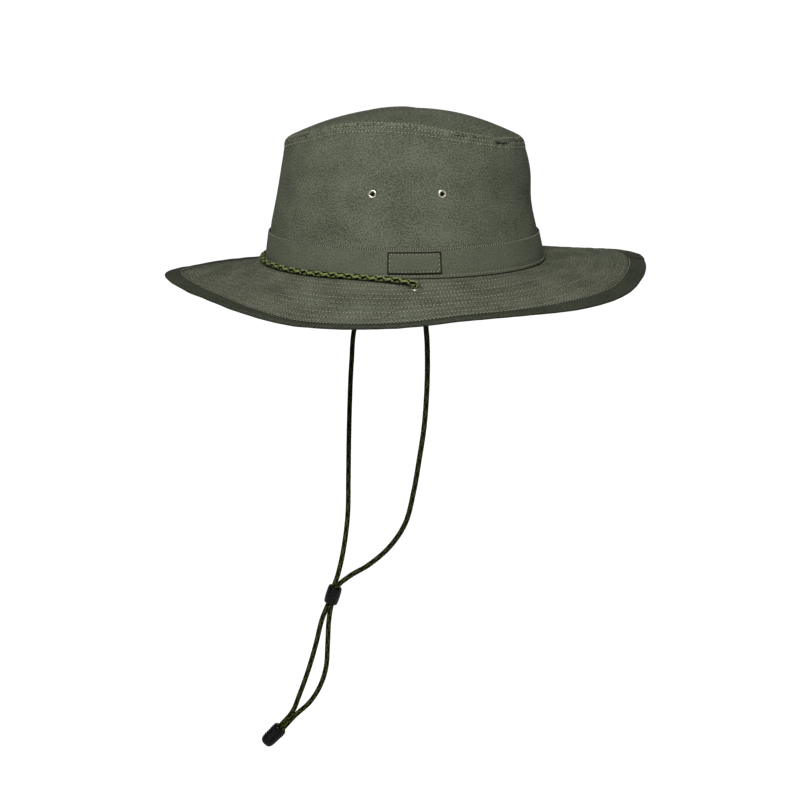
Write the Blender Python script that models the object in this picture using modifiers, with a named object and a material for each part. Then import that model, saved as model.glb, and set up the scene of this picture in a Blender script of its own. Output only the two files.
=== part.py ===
"""Wide-brimmed travel hat with a braided chin cord.

Metres, +Z up. The origin is the middle of the head opening, at the foot of the crown.
The front of the hat points along -Y, and the wearer's left side is +X.
A turn is an angle round the crown in degrees: 0 at the front, 90 at the wearer's left,
180 at the back.
"""
import math

import bmesh
import bpy
from mathutils import Matrix, Vector

MM = 0.001

# Clearances between pieces that touch
CLEARANCE = 0.3 * MM
BRAID_PLAY = 0.4 * MM

# Crown: a tapered side wall with an oval foot, closed by an arched tip
CROWN_HALF_LENGTH = 102.0 * MM
CROWN_HALF_WIDTH = 85.0 * MM
CROWN_HEIGHT = 111.5 * MM
CROWN_WALL = 1.2 * MM

# Hat band round the foot of the crown, and the patch stitched on it
BAND_HEIGHT = 21.5 * MM
BAND_WALL = 1.2 * MM
LABEL_LENGTH = 38.4 * MM
LABEL_HEIGHT = 15.5 * MM
LABEL_WALL = 1.0 * MM
LABEL_TURN = 93.7
LABEL_FOOT = 3.4 * MM

# Brim, from the foot of the crown to the nose of its binding
BRIM_WIDTH = 77.0 * MM
BRIM_DROP = 19.0 * MM
BRIM_WALL = 1.4 * MM
BINDING_WIDTH = 13.0 * MM
BINDING_WALL = 1.0 * MM
BINDING_NOSE = 0.4

# Flanges of the eyelets and grommets: how thick they are at the edge and at the hole, as
# shares of the flange wall
FLANGE_EDGE = 0.3
FLANGE_MOUTH = 0.5

# Vent eyelets in the crown wall
EYELET_HOLE_RADIUS = 1.65 * MM
EYELET_TUBE_WALL = 0.45 * MM
EYELET_FLANGE_RADIUS = 3.1 * MM
EYELET_FLANGE_WALL = 0.5 * MM
EYELET_HEIGHT = 59.0 * MM
EYELET_TURNS = {"front": 75.5, "back": 106.5}

# Chin cord and the grommets that it hangs from
CORD_DIAMETER = 3.8 * MM
GROMMET_HOLE_RADIUS = 2.5 * MM
GROMMET_TUBE_WALL = 0.5 * MM
GROMMET_FLANGE_RADIUS = 4.7 * MM
GROMMET_FLANGE_WALL = 0.6 * MM
GROMMET_REACH = 11.5 * MM
GROMMET_TURN = 93.6
GROMMET_PASS = (3.6 * MM, 0.0, -4.2 * MM)

# Barrel slider and clamshell end on the cord. Both carry two strands side by side, the left
# one nearer to the wearer's left by this slant in degrees.
STRAND_SPACING = 4.4 * MM
STRAND_SLANT = 60.0
SLIDER_LENGTH = 13.6 * MM
SLIDER_WIDTH = 11.2 * MM
SLIDER_DEPTH = 11.2 * MM
SLIDER_CENTRE = Vector((0.0, -55.0, -261.0)) * MM
SLIDER_UP = Vector((0.0, 0.298, 0.955)).normalized()
END_LENGTH = 18.6 * MM
END_WIDTH = 11.0 * MM
END_DEPTH = 10.8 * MM
END_SOCKET_DEPTH = 6.0 * MM
END_MOUTH = Vector((0.0, -96.0, -368.9)) * MM
END_DOWN = Vector((0.0, -0.70, -0.714)).normalized()
RIB_HEIGHT = 0.35 * MM
GROOVE_DEPTH = 0.5 * MM
SLIDER_RIDGE = 0.3 * MM
BARREL_POWER = 2.6

# Round the crown: height of the side wall's top edge on the wearer's left and right, as
# shares of CROWN_HEIGHT, and how square the tip's arch is from there to its crest
CROWN_ROUND = (
    # turn, left_seam, right_seam, arch_power
    (0, 0.788, 0.788, 2.0),
    (30, 0.853, 0.785, 1.9),
    (60, 0.945, 0.860, 1.8),
    (90, 0.950, 0.885, 1.8),
    (120, 0.882, 0.820, 1.7),
    (150, 0.820, 0.788, 2.0),
    (180, 0.791, 0.791, 2.1),
)

# Up the crown: how far out the wall stands, as a share of the foot's half length or width
CROWN_UP = (
    # height, front, side, back
    (0.00, 1.000, 1.000, 1.000),
    (0.25, 0.972, 0.958, 0.955),
    (0.50, 0.930, 0.912, 0.911),
    (0.75, 0.891, 0.863, 0.900),
    (1.00, 0.857, 0.805, 0.850),
)

# Round the brim: its width as a share of BRIM_WIDTH, and its height as shares of BRIM_DROP
# at one third and two thirds of the way out to the binding, at the binding and at the rim
BRIM_ROUND = (
    # turn, width, third, two_thirds, at_binding, at_rim
    (0, 0.985, -0.36, -0.45, -0.52, -0.59),
    (7.5, 0.937, -0.36, -0.48, -0.57, -0.63),
    (15, 0.868, -0.36, -0.53, -0.66, -0.70),
    (30, 0.812, -0.33, -0.60, -0.78, -0.78),
    (45, 0.845, -0.34, -0.68, -0.95, -0.92),
    (60, 0.890, -0.36, -0.76, -1.12, -1.08),
    (75, 0.905, -0.36, -0.75, -1.11, -1.06),
    (90, 0.920, -0.345, -0.68, -0.99, -0.94),
    (105, 0.945, -0.28, -0.54, -0.76, -0.72),
    (120, 0.980, -0.22, -0.45, -0.66, -0.66),
    (135, 1.020, -0.12, -0.32, -0.54, -0.67),
    (150, 1.040, -0.04, -0.17, -0.39, -0.54),
    (165, 1.000, 0.04, 0.02, -0.12, -0.27),
    (180, 0.980, 0.08, 0.09, 0.00, -0.12),
)

# Along the slider and the cord end: distance from the mouth, half width and half depth,
# as shares of the piece's own length, half width and half depth
SLIDER_ALONG = (
    # along, width, depth
    (0.00, 0.86, 0.86),
    (0.06, 0.93, 0.93),
    (0.30, 0.99, 0.99),
    (0.50, 1.00, 1.00),
    (0.70, 0.99, 0.99),
    (0.94, 0.93, 0.93),
    (1.00, 0.86, 0.86),
)
END_ALONG = (
    # along, width, depth
    (0.00, 0.88, 0.90),
    (0.05, 0.97, 0.96),
    (0.45, 1.00, 1.00),
    (0.70, 0.98, 0.97),
    (0.88, 0.86, 0.86),
    (1.00, 0.52, 0.56),
)
RIB_COUNT = 5
RIB_FIRST = 0.12
RIB_LAST = 0.66

# The chin cord's own route in millimetres, chosen along its strands. Each strand runs from
# its grommet to the slider, and on from the slider to the cord end.
LEFT_STRAND = (
    (96.0, 12.5, -20.0),
    (94.0, 15.0, -37.0),
    (90.0, 15.8, -60.0),
    (85.0, 15.3, -84.0),
    (77.0, 13.6, -110.0),
    (67.0, 10.2, -137.0),
    (55.5, 6.3, -164.0),
    (41.0, 0.3, -192.0),
    (24.5, -12.0, -216.0),
    (11.5, -28.0, -234.0),
    (4.0, -41.5, -244.5),
)
LEFT_TAIL = (
    (1.9, -58.3, -281.5),
    (1.9, -59.3, -300.0),
    (1.9, -60.7, -319.0),
    (1.9, -65.3, -334.0),
    (1.9, -73.6, -347.5),
    (1.9, -84.9, -358.2),
)
RIGHT_STRAND = (
    (-96.0, -5.0, -22.0),
    (-94.0, -26.0, -44.0),
    (-90.0, -38.5, -68.0),
    (-82.0, -41.7, -98.0),
    (-72.0, -43.0, -128.0),
    (-61.0, -43.6, -156.0),
    (-48.0, -43.8, -182.0),
    (-32.0, -44.2, -208.0),
    (-15.0, -47.4, -231.0),
    (-4.0, -51.2, -246.0),
)
RIGHT_TAIL = (
    (-1.9, -63.6, -281.5),
    (-1.9, -68.6, -302.0),
    (-1.9, -74.6, -323.0),
    (-1.9, -82.0, -344.0),
    (-1.9, -86.9, -356.2),
)
CORD_WRAP_TURNS = (72, 54, 36, 18, 0, -18, -36, -54, -72)
CORD_WRAP_LIFT = 0.9 * MM
CORD_STEP = 18.0 * MM

# How finely the pieces are divided
CROWN_COLUMNS = 56
CROWN_ROWS = (0.0, 0.14, 0.30, 0.48, 0.66, 0.84, 1.0)
TIP_RINGS = (1.0, 0.95, 0.87, 0.75, 0.55, 0.28)
LABEL_COLUMNS = 12
BRIM_COLUMNS = 64
BRIM_ROWS = (0.0, 0.2, 0.4, 0.6, 0.8, 1.0)
RING_SEGMENTS = 12
BARREL_SEGMENTS = 20
SLOT_SEGMENTS = 16

# How much wider a faceted slot is than a round one that would clear the strands
SLOT_MARGIN = 1.03

# Colours as linear RGB, with roughness and metallic
CLOTH = ((0.088, 0.097, 0.068), 0.75, 0.0)
CLOTH_DARK = ((0.050, 0.054, 0.038), 0.75, 0.0)
NICKEL = ((0.42, 0.40, 0.33), 0.35, 1.0)
BRAID = ((0.090, 0.110, 0.028), 0.80, 0.0)
BLACK_PLASTIC = ((0.010, 0.010, 0.009), 0.35, 0.0)


def clear_scene():
    for thing in list(bpy.data.objects):
        bpy.data.objects.remove(thing, do_unlink=True)


def new_collection(name):
    made = bpy.data.collections.new(name)
    bpy.context.scene.collection.children.link(made)
    return made


def new_material(name, look):
    colour, roughness, metallic = look
    made = bpy.data.materials.new(name)
    made.use_nodes = True
    shader = made.node_tree.nodes["Principled BSDF"]
    shader.inputs["Base Color"].default_value = (*colour, 1.0)
    shader.inputs["Roughness"].default_value = roughness
    shader.inputs["Metallic"].default_value = metallic
    return made


def through(places, values, place, flat_ends=False):
    """Value at one place of a smooth curve through a column of values."""
    last = len(places) - 1
    slopes = [(values[i + 1] - values[i]) / (places[i + 1] - places[i]) for i in range(last)]
    tangents = [slopes[0]]
    tangents += [(slopes[i - 1] + slopes[i]) / 2 for i in range(1, last)]
    tangents.append(slopes[-1])
    if flat_ends:
        tangents[0] = 0.0
        tangents[-1] = 0.0
    k = 0
    while k < last - 1 and place > places[k + 1]:
        k += 1
    span = places[k + 1] - places[k]
    t = (place - places[k]) / span
    start = values[k] * (1 + 2 * t) * (1 - t) ** 2 + tangents[k] * span * t * (1 - t) ** 2
    finish = values[k + 1] * t * t * (3 - 2 * t) + tangents[k + 1] * span * t * t * (t - 1)
    return start + finish


def around(table, column, turn):
    """Column of a table of turns, which both sides of the hat share."""
    folded = abs((turn + 180.0) % 360.0 - 180.0)
    return through([row[0] for row in table], [row[column] for row in table], folded, True)


def along(table, column, place):
    return through([row[0] for row in table], [row[column] for row in table], place)


def turns(columns):
    return [360.0 * k / columns for k in range(columns)]


def oval(turn, half_width, half_length):
    angle = math.radians(turn)
    return Vector((half_width * math.sin(angle), -half_length * math.cos(angle), 0.0))


def oval_normal(turn, half_width, half_length):
    angle = math.radians(turn)
    return Vector((math.sin(angle) / half_width, -math.cos(angle) / half_length, 0.0)).normalized()


def seam_height(turn):
    """The soft crown stands a little higher at the wearer's left than at the right."""
    on_left = (turn + 180.0) % 360.0 >= 180.0
    return around(CROWN_ROUND, 1 if on_left else 2, turn) * CROWN_HEIGHT


def crown_point(turn, height):
    """Outside of the crown's side wall, at a share of the wall's height there."""
    towards = math.cos(math.radians(turn))
    end = along(CROWN_UP, 1 if towards >= 0 else 3, height)
    share = end * towards ** 2 + along(CROWN_UP, 2, height) * (1 - towards ** 2)
    point = oval(turn, CROWN_HALF_WIDTH * share, CROWN_HALF_LENGTH * share)
    point.z = height * seam_height(turn)
    return point


def crown_normal(turn, height):
    low = max(0.0, height - 0.01)
    across = crown_point(turn + 1.0, height) - crown_point(turn - 1.0, height)
    upward = crown_point(turn, low + 0.02) - crown_point(turn, low)
    return across.cross(upward).normalized()


def band_point(turn, height, offset):
    """Point at a height in metres, standing off the crown's side wall by an offset."""
    share = height / seam_height(turn)
    return crown_point(turn, share) + crown_normal(turn, share) * offset


def tip_point(turn, reach):
    """Outside of the crown's tip, from its centre at reach 0 to its edge at reach 1."""
    edge = crown_point(turn, 1.0)
    edge.z += CLEARANCE + CROWN_WALL
    power = around(CROWN_ROUND, 3, turn)
    height = edge.z + (CROWN_HEIGHT - edge.z) * (1 - reach ** power)
    return Vector((edge.x * reach, edge.y * reach, height))


def brim_width(turn):
    return around(BRIM_ROUND, 1, turn) * BRIM_WIDTH


def brim_point(turn, distance):
    """Middle of the brim's thickness, at a level distance out from the crown's foot."""
    foot = oval(turn, CROWN_HALF_WIDTH, CROWN_HALF_LENGTH)
    outward = oval_normal(turn, CROWN_HALF_WIDTH, CROWN_HALF_LENGTH)
    width = brim_width(turn)
    bound = width - BINDING_WIDTH
    places = [0.0, bound / 3, bound * 2 / 3, bound, width]
    drops = [0.0] + [around(BRIM_ROUND, column, turn) * BRIM_DROP for column in (2, 3, 4, 5)]
    point = foot + outward * distance
    point.z = -CLEARANCE - BRIM_WALL / 2
    if distance > 0:
        point.z += through(places, drops, distance)
    return point


def brim_normal(turn, distance):
    step = 0.5 * MM
    near = max(step, distance)
    across = brim_point(turn + 0.5, near) - brim_point(turn - 0.5, near)
    outward = brim_point(turn, near + step) - brim_point(turn, near - step)
    return outward.cross(across).normalized()


def brim_at(turn, distance, offset):
    return brim_point(turn, distance) + brim_normal(turn, distance) * offset


def new_object(name, mesh, collection, material):
    made = bpy.data.objects.new(name, mesh)
    collection.objects.link(made)
    mesh.materials.append(material)
    return made


def sheet_mesh(name, rings, closed=True):
    """Open sheet lofted through rings, facing out when the rings run anticlockwise upwards."""
    mesh = bpy.data.meshes.new(name)
    work = bmesh.new()
    rows = [[work.verts.new(point) for point in ring] for ring in rings]
    count = len(rings[0])
    for low, high in zip(rows, rows[1:]):
        for k in range(count if closed else count - 1):
            after = (k + 1) % count
            work.faces.new((low[k], low[after], high[after], high[k]))
    work.to_mesh(mesh)
    work.free()
    return mesh


def solid_mesh(name, rings, capped=True):
    """Closed body lofted through rings, with end faces or joined back to its first ring."""
    mesh = bpy.data.meshes.new(name)
    work = bmesh.new()
    rows = [[work.verts.new(point) for point in ring] for ring in rings]
    count = len(rings[0])
    pairs = list(zip(rows, rows[1:]))
    if not capped:
        pairs.append((rows[-1], rows[0]))
    for low, high in pairs:
        for k in range(count):
            after = (k + 1) % count
            work.faces.new((low[k], low[after], high[after], high[k]))
    if capped:
        work.faces.new(rows[0])
        work.faces.new(rows[-1])
    bmesh.ops.recalc_face_normals(work, faces=work.faces)
    work.to_mesh(mesh)
    work.free()
    return mesh


def thicken(thing, wall):
    """Give an open sheet its wall, on the inner side of the sheet."""
    solidify = thing.modifiers.new("Wall", "SOLIDIFY")
    solidify.thickness = wall
    solidify.offset = -1.0
    solidify.use_even_offset = True
    return solidify


def cut(thing, cutter):
    boolean = thing.modifiers.new("Cut " + cutter.name, "BOOLEAN")
    boolean.operation = "DIFFERENCE"
    boolean.solver = "EXACT"
    boolean.object = cutter


def as_cutter(thing, collection):
    for held in list(thing.users_collection):
        held.objects.unlink(thing)
    collection.objects.link(thing)
    thing.hide_render = True
    thing.display_type = "WIRE"
    return thing


def facing(point, normal):
    """Placement whose local +Z lies along a normal."""
    return Matrix.Translation(point) @ normal.to_track_quat("Z", "Y").to_matrix().to_4x4()


def hole_cutter(name, placement, radius, depth, cutters):
    bpy.ops.mesh.primitive_cylinder_add(vertices=RING_SEGMENTS, radius=radius, depth=depth)
    made = bpy.context.active_object
    made.name = name
    made.matrix_world = placement
    return as_cutter(made, cutters)


def smooth_shade(thing, angle=40.0):
    thing.data.shade_smooth()
    thing.data.set_sharp_from_angle(angle=math.radians(angle))


def make_crown_side(parts, cutters):
    rings = [[crown_point(turn, height) for turn in turns(CROWN_COLUMNS)] for height in CROWN_ROWS]
    side = new_object("crown_side", sheet_mesh("crown_side", rings), parts,
                      new_material("crown_side", CLOTH))
    thicken(side, CROWN_WALL)
    hole = EYELET_HOLE_RADIUS + EYELET_TUBE_WALL + CLEARANCE
    for name, turn in eyelet_turns().items():
        placement = eyelet_placement(turn)
        cut(side, hole_cutter("hole_" + name, placement, hole, 8 * CROWN_WALL, cutters))
    smooth_shade(side)


def make_crown_tip(parts):
    """Arched panel that closes the crown, one wall above the side wall's top edge."""
    rings = [[tip_point(turn, reach) for turn in turns(CROWN_COLUMNS)] for reach in TIP_RINGS]
    mesh = sheet_mesh("crown_tip", rings)
    work = bmesh.new()
    work.from_mesh(mesh)
    rim = [edge for edge in work.edges if edge.is_boundary]
    inner = [edge for edge in rim if edge.verts[0].co.xy.length < CROWN_HALF_WIDTH / 2]
    bmesh.ops.contextual_create(work, geom=inner)
    lid = [face for face in work.faces if len(face.verts) > 4]
    bmesh.ops.poke(work, faces=lid)
    bmesh.ops.recalc_face_normals(work, faces=work.faces)
    for vertex in work.verts:
        if vertex.co.xy.length < MM:
            vertex.co.z = CROWN_HEIGHT
    work.to_mesh(mesh)
    work.free()
    tip = new_object("crown_tip", mesh, parts, new_material("crown_tip", CLOTH))
    thicken(tip, CROWN_WALL)
    smooth_shade(tip)


def make_hat_band(parts):
    offset = CLEARANCE + BAND_WALL
    heights = (CLEARANCE, BAND_HEIGHT / 2, BAND_HEIGHT)
    rings = [[band_point(turn, height, offset) for turn in turns(CROWN_COLUMNS)]
             for height in heights]
    band = new_object("hat_band", sheet_mesh("hat_band", rings), parts,
                      new_material("hat_band", CLOTH))
    thicken(band, BAND_WALL)
    smooth_shade(band)


def label_turns():
    """Turns across the patch, spread so that its length along the band is LABEL_LENGTH."""
    before = band_point(LABEL_TURN - 0.5, LABEL_FOOT, 0.0)
    after = band_point(LABEL_TURN + 0.5, LABEL_FOOT, 0.0)
    half = LABEL_LENGTH / (after - before).length / 2
    return [LABEL_TURN - half + 2 * half * k / LABEL_COLUMNS for k in range(LABEL_COLUMNS + 1)]


def make_label_patch(parts):
    offset = CLEARANCE + BAND_WALL + CLEARANCE + LABEL_WALL
    heights = (LABEL_FOOT, LABEL_FOOT + LABEL_HEIGHT / 2, LABEL_FOOT + LABEL_HEIGHT)
    rings = [[band_point(turn, height, offset) for turn in label_turns()] for height in heights]
    label = new_object("label_patch", sheet_mesh("label_patch", rings, closed=False), parts,
                       new_material("label_patch", CLOTH))
    thicken(label, LABEL_WALL)
    smooth_shade(label)


def brim_distances(turn):
    """Where the brim sheet's rings lie, from the rim in to the inside of the crown wall."""
    bound = brim_width(turn) - BINDING_WIDTH
    edge = brim_width(turn) - BINDING_WALL - CLEARANCE
    open_brim = [bound * share for share in reversed(BRIM_ROWS)]
    return [edge, (bound + edge) / 2] + open_brim + [-CROWN_WALL]


def make_brim(parts, cutters):
    columns = [[brim_at(turn, distance, BRIM_WALL / 2) for distance in brim_distances(turn)]
               for turn in turns(BRIM_COLUMNS)]
    rings = list(zip(*columns))
    brim = new_object("brim", sheet_mesh("brim", rings), parts, new_material("brim", CLOTH))
    thicken(brim, BRIM_WALL)
    hole = GROMMET_HOLE_RADIUS + GROMMET_TUBE_WALL + CLEARANCE
    for side, sign in (("left", 1), ("right", -1)):
        placement = grommet_placement(sign)
        cut(brim, hole_cutter("hole_cord_" + side, placement, hole, 8 * BRIM_WALL, cutters))
    smooth_shade(brim)


def make_brim_binding(parts):
    """Cloth strip folded round the rim, clear of the brim by one clearance all round."""
    inner = BRIM_WALL / 2 + CLEARANCE
    outer = inner + BINDING_WALL
    rings = []
    for turn in turns(BRIM_COLUMNS):
        width = brim_width(turn)
        bound = width - BINDING_WIDTH
        edge = width - BINDING_WALL
        middle = (bound + edge) / 2
        outline = (
            (bound, outer), (middle, outer), (edge, outer),
            (width, outer * BINDING_NOSE), (width, -outer * BINDING_NOSE),
            (edge, -outer), (middle, -outer), (bound, -outer),
            (bound, -inner), (middle, -inner), (edge, -inner),
            (edge, inner), (middle, inner), (bound, inner),
        )
        rings.append([brim_at(turn, distance, offset) for distance, offset in outline])
    binding = new_object("brim_binding", solid_mesh("brim_binding", rings, capped=False), parts,
                         new_material("brim_binding", CLOTH_DARK))
    smooth_shade(binding)


def ring_mesh(name, hole, tube, flange, flange_wall, gap):
    """Turned eyelet: a tube with a flange past each end of the gap that it clamps."""
    low = -gap / 2 - flange_wall
    high = gap / 2 + flange_wall
    crest = (hole + flange) / 2
    outline = (
        (hole, high - flange_wall * FLANGE_MOUTH), (crest, high),
        (flange, gap / 2 + flange_wall * FLANGE_EDGE), (flange, gap / 2), (hole + tube, gap / 2),
        (hole + tube, -gap / 2), (flange, -gap / 2),
        (flange, -gap / 2 - flange_wall * FLANGE_EDGE), (crest, low),
        (hole, low + flange_wall * FLANGE_MOUTH),
    )
    rings = []
    for k in range(RING_SEGMENTS):
        angle = 2 * math.pi * k / RING_SEGMENTS
        rings.append([Vector((radius * math.cos(angle), radius * math.sin(angle), height))
                      for radius, height in outline])
    return solid_mesh(name, rings, capped=False)


def eyelet_turns():
    made = {}
    for place, turn in EYELET_TURNS.items():
        made["vent_eyelet_left_" + place] = turn
        made["vent_eyelet_right_" + place] = -turn
    return made


def eyelet_placement(turn):
    share = EYELET_HEIGHT / seam_height(turn)
    normal = crown_normal(turn, share)
    return facing(crown_point(turn, share) - normal * CROWN_WALL / 2, normal)


def make_vent_eyelets(parts):
    for name, turn in eyelet_turns().items():
        mesh = ring_mesh(name, EYELET_HOLE_RADIUS, EYELET_TUBE_WALL, EYELET_FLANGE_RADIUS,
                         EYELET_FLANGE_WALL, CROWN_WALL + 2 * CLEARANCE)
        eyelet = new_object(name, mesh, parts, new_material(name, NICKEL))
        eyelet.matrix_world = eyelet_placement(turn)
        smooth_shade(eyelet)


def grommet_placement(sign):
    turn = sign * GROMMET_TURN
    return facing(brim_point(turn, GROMMET_REACH), brim_normal(turn, GROMMET_REACH))


def make_cord_grommets(parts):
    for side, sign in (("left", 1), ("right", -1)):
        name = "cord_grommet_" + side
        mesh = ring_mesh(name, GROMMET_HOLE_RADIUS, GROMMET_TUBE_WALL, GROMMET_FLANGE_RADIUS,
                         GROMMET_FLANGE_WALL, BRIM_WALL + 2 * CLEARANCE)
        grommet = new_object(name, mesh, parts, new_material(name, NICKEL))
        grommet.matrix_world = grommet_placement(sign)
        smooth_shade(grommet)


def cord_wrap():
    """Stretch of the cord that lies in the corner between the hat band and the brim."""
    offset = CLEARANCE + BAND_WALL + BRAID_PLAY + CORD_DIAMETER / 2
    return [band_point(turn, CORD_WRAP_LIFT, offset) for turn in CORD_WRAP_TURNS]


def grommet_pass(sign):
    """Points on a grommet's axis, from above the brim to below it."""
    placement = grommet_placement(sign)
    return [placement @ Vector((0.0, 0.0, height)) for height in GROMMET_PASS]


def across(direction):
    """Direction across a piece on the cord, level with the hat's middle plane."""
    side = Vector((1.0, 0.0, 0.0)).cross(direction).normalized()
    return side if side.y > 0 else -side


def spread(direction):
    """Direction from the right strand to the left one, where both run through a piece."""
    slant = math.radians(STRAND_SLANT)
    return across(direction) * math.cos(slant) + Vector((1.0, 0.0, 0.0)) * math.sin(slant)


def slider_pass(side):
    """Points on one strand's way down through the slider."""
    shift = spread(SLIDER_UP) * side * STRAND_SPACING / 2
    ends = (SLIDER_LENGTH / 2 + MM, 0.0, -SLIDER_LENGTH / 2 - MM)
    return [SLIDER_CENTRE + SLIDER_UP * height + shift for height in ends]


def end_pass(side):
    """Points on one strand's way into the cord end."""
    shift = spread(END_DOWN) * side * STRAND_SPACING / 2
    depths = (-2.0 * MM, END_SOCKET_DEPTH - CLEARANCE)
    return [END_MOUTH + END_DOWN * depth + shift for depth in depths]


def cord_route():
    """The whole cord: up the left strand, round the front of the crown, down the right."""
    def metres(points):
        return [Vector(point) * MM for point in points]

    left = grommet_pass(1) + metres(LEFT_STRAND) + slider_pass(1) + metres(LEFT_TAIL) + end_pass(1)
    right = (grommet_pass(-1) + metres(RIGHT_STRAND) + slider_pass(-1) + metres(RIGHT_TAIL)
             + end_pass(-1))
    left.reverse()
    return left + cord_wrap() + right


def smooth_route(points, step):
    """Points along a smooth curve through a route, about one step apart."""
    padded = [points[0] * 2 - points[1]] + list(points) + [points[-1] * 2 - points[-2]]
    made = []
    for before, start, finish, after in zip(padded, padded[1:], padded[2:], padded[3:]):
        gaps = [max((b - a).length, 1e-9) ** 0.5 for a, b in
                ((before, start), (start, finish), (finish, after))]
        slope_in = ((start - before) / gaps[0] - (finish - before) / (gaps[0] + gaps[1])
                    + (finish - start) / gaps[1]) * gaps[1]
        slope_out = ((finish - start) / gaps[1] - (after - start) / (gaps[1] + gaps[2])
                     + (after - finish) / gaps[2]) * gaps[1]
        count = max(1, round((finish - start).length / step))
        for k in range(count):
            t = k / count
            made.append(start * (1 + 2 * t) * (1 - t) ** 2 + slope_in * t * (1 - t) ** 2
                        + finish * t * t * (3 - 2 * t) + slope_out * t * t * (t - 1))
    made.append(points[-1])
    return made


def make_chin_cord(parts):
    points = smooth_route(cord_route(), CORD_STEP)
    curve = bpy.data.curves.new("chin_cord", "CURVE")
    curve.dimensions = "3D"
    curve.bevel_depth = CORD_DIAMETER / 2
    curve.bevel_resolution = 2
    curve.use_fill_caps = True
    spline = curve.splines.new("POLY")
    spline.points.add(len(points) - 1)
    for slot, point in zip(spline.points, points):
        slot.co = (*point, 1.0)
    cord = bpy.data.objects.new("chin_cord", curve)
    parts.objects.link(cord)
    curve.materials.append(new_material("chin_cord", BRAID))


def barrel_ring(base, axis, half_width, half_depth, ridge):
    """Squarish round outline across an axis; the ridge adds to its size at each angle."""
    side = across(axis)
    front = Vector((1.0, 0.0, 0.0))
    ring = []
    for k in range(BARREL_SEGMENTS):
        angle = 2 * math.pi * k / BARREL_SEGMENTS
        c = math.cos(angle)
        s = math.sin(angle)
        square = (abs(c) ** BARREL_POWER + abs(s) ** BARREL_POWER) ** (-1 / BARREL_POWER)
        wide = (half_width + ridge(angle)) * square * c
        deep = (half_depth + ridge(angle)) * square * s
        ring.append(base + side * wide + front * deep)
    return ring


def strand_slot(name, middle, axis, length, cutters):
    """Cutter for the flat-sided hole that two strands share."""
    radius = (CORD_DIAMETER / 2 + BRAID_PLAY) * SLOT_MARGIN
    side = spread(axis)
    front = axis.cross(side)
    rings = []
    for end in (-length / 2, length / 2):
        ring = []
        for k in range(SLOT_SEGMENTS):
            angle = 2 * math.pi * (k + 0.5) / SLOT_SEGMENTS
            shift = math.copysign(STRAND_SPACING / 2, math.cos(angle))
            ring.append(middle + axis * end + side * (radius * math.cos(angle) + shift)
                        + front * radius * math.sin(angle))
        rings.append(ring)
    made = bpy.data.objects.new(name, solid_mesh(name, rings))
    cutters.objects.link(made)
    return as_cutter(made, cutters)


def make_cord_slider(parts, cutters):
    top = SLIDER_CENTRE + SLIDER_UP * SLIDER_LENGTH / 2

    def ridge(angle):
        return SLIDER_RIDGE if abs(math.sin(angle)) > 0.9 else 0.0

    rings = [barrel_ring(top - SLIDER_UP * place * SLIDER_LENGTH, SLIDER_UP,
                         width * SLIDER_WIDTH / 2, depth * SLIDER_DEPTH / 2, ridge)
             for place, width, depth in SLIDER_ALONG]
    slider = new_object("cord_slider", solid_mesh("cord_slider", rings), parts,
                        new_material("cord_slider", BLACK_PLASTIC))
    cut(slider, strand_slot("slot_slider", SLIDER_CENTRE, SLIDER_UP, SLIDER_LENGTH * 2, cutters))
    smooth_shade(slider)


def end_places():
    """Places of the cord end's rings, and which of them are cut down between its ribs."""
    pitch = (RIB_LAST - RIB_FIRST) / RIB_COUNT
    crests = [RIB_FIRST + pitch * k for k in range(RIB_COUNT + 1)]
    hollows = [RIB_FIRST + pitch * (k + 0.5) for k in range(RIB_COUNT)]
    own = [row[0] for row in END_ALONG if row[0] < RIB_FIRST or row[0] > RIB_LAST]
    return sorted(own + crests + hollows), hollows


def make_cord_end(parts, cutters):
    """Clamshell end: ribs down one half, and a groove where its two halves part."""
    places, hollows = end_places()
    rings = []
    for place in places:
        sunk = RIB_HEIGHT if place in hollows else 0.0

        def ridge(angle, sunk=sunk):
            if abs(math.sin(angle)) > 0.99:
                return -GROOVE_DEPTH
            return -sunk if math.cos(angle) < -0.3 else 0.0

        rings.append(barrel_ring(END_MOUTH + END_DOWN * place * END_LENGTH, END_DOWN,
                                 along(END_ALONG, 1, place) * END_WIDTH / 2,
                                 along(END_ALONG, 2, place) * END_DEPTH / 2, ridge))
    end = new_object("cord_end", solid_mesh("cord_end", rings), parts,
                     new_material("cord_end", BLACK_PLASTIC))
    cut(end, strand_slot("slot_end", END_MOUTH, END_DOWN, END_SOCKET_DEPTH * 2, cutters))
    smooth_shade(end)


def main():
    clear_scene()
    parts = new_collection("travel_hat")
    cutters = new_collection("cutters")
    make_crown_side(parts, cutters)
    make_crown_tip(parts)
    make_hat_band(parts)
    make_label_patch(parts)
    make_brim(parts, cutters)
    make_brim_binding(parts)
    make_vent_eyelets(parts)
    make_cord_grommets(parts)
    make_chin_cord(parts)
    make_cord_slider(parts, cutters)
    make_cord_end(parts, cutters)


main()
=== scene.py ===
# %% [markdown]
# # A travel hat with a chin cord
# The hat is soft cotton twill: a side wall, an arched tip, a band, and a brim that is held
# stiff by rows of stitching and bound round its rim. A braided cord lies round the crown,
# goes down through two grommets and hangs below with a slider and an end piece on it.
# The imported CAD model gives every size, so the first step loads it as a fixed frame.

# %% Load the frame
import math

import bpy
import numpy as np
from mathutils import Matrix, Vector, noise


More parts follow.
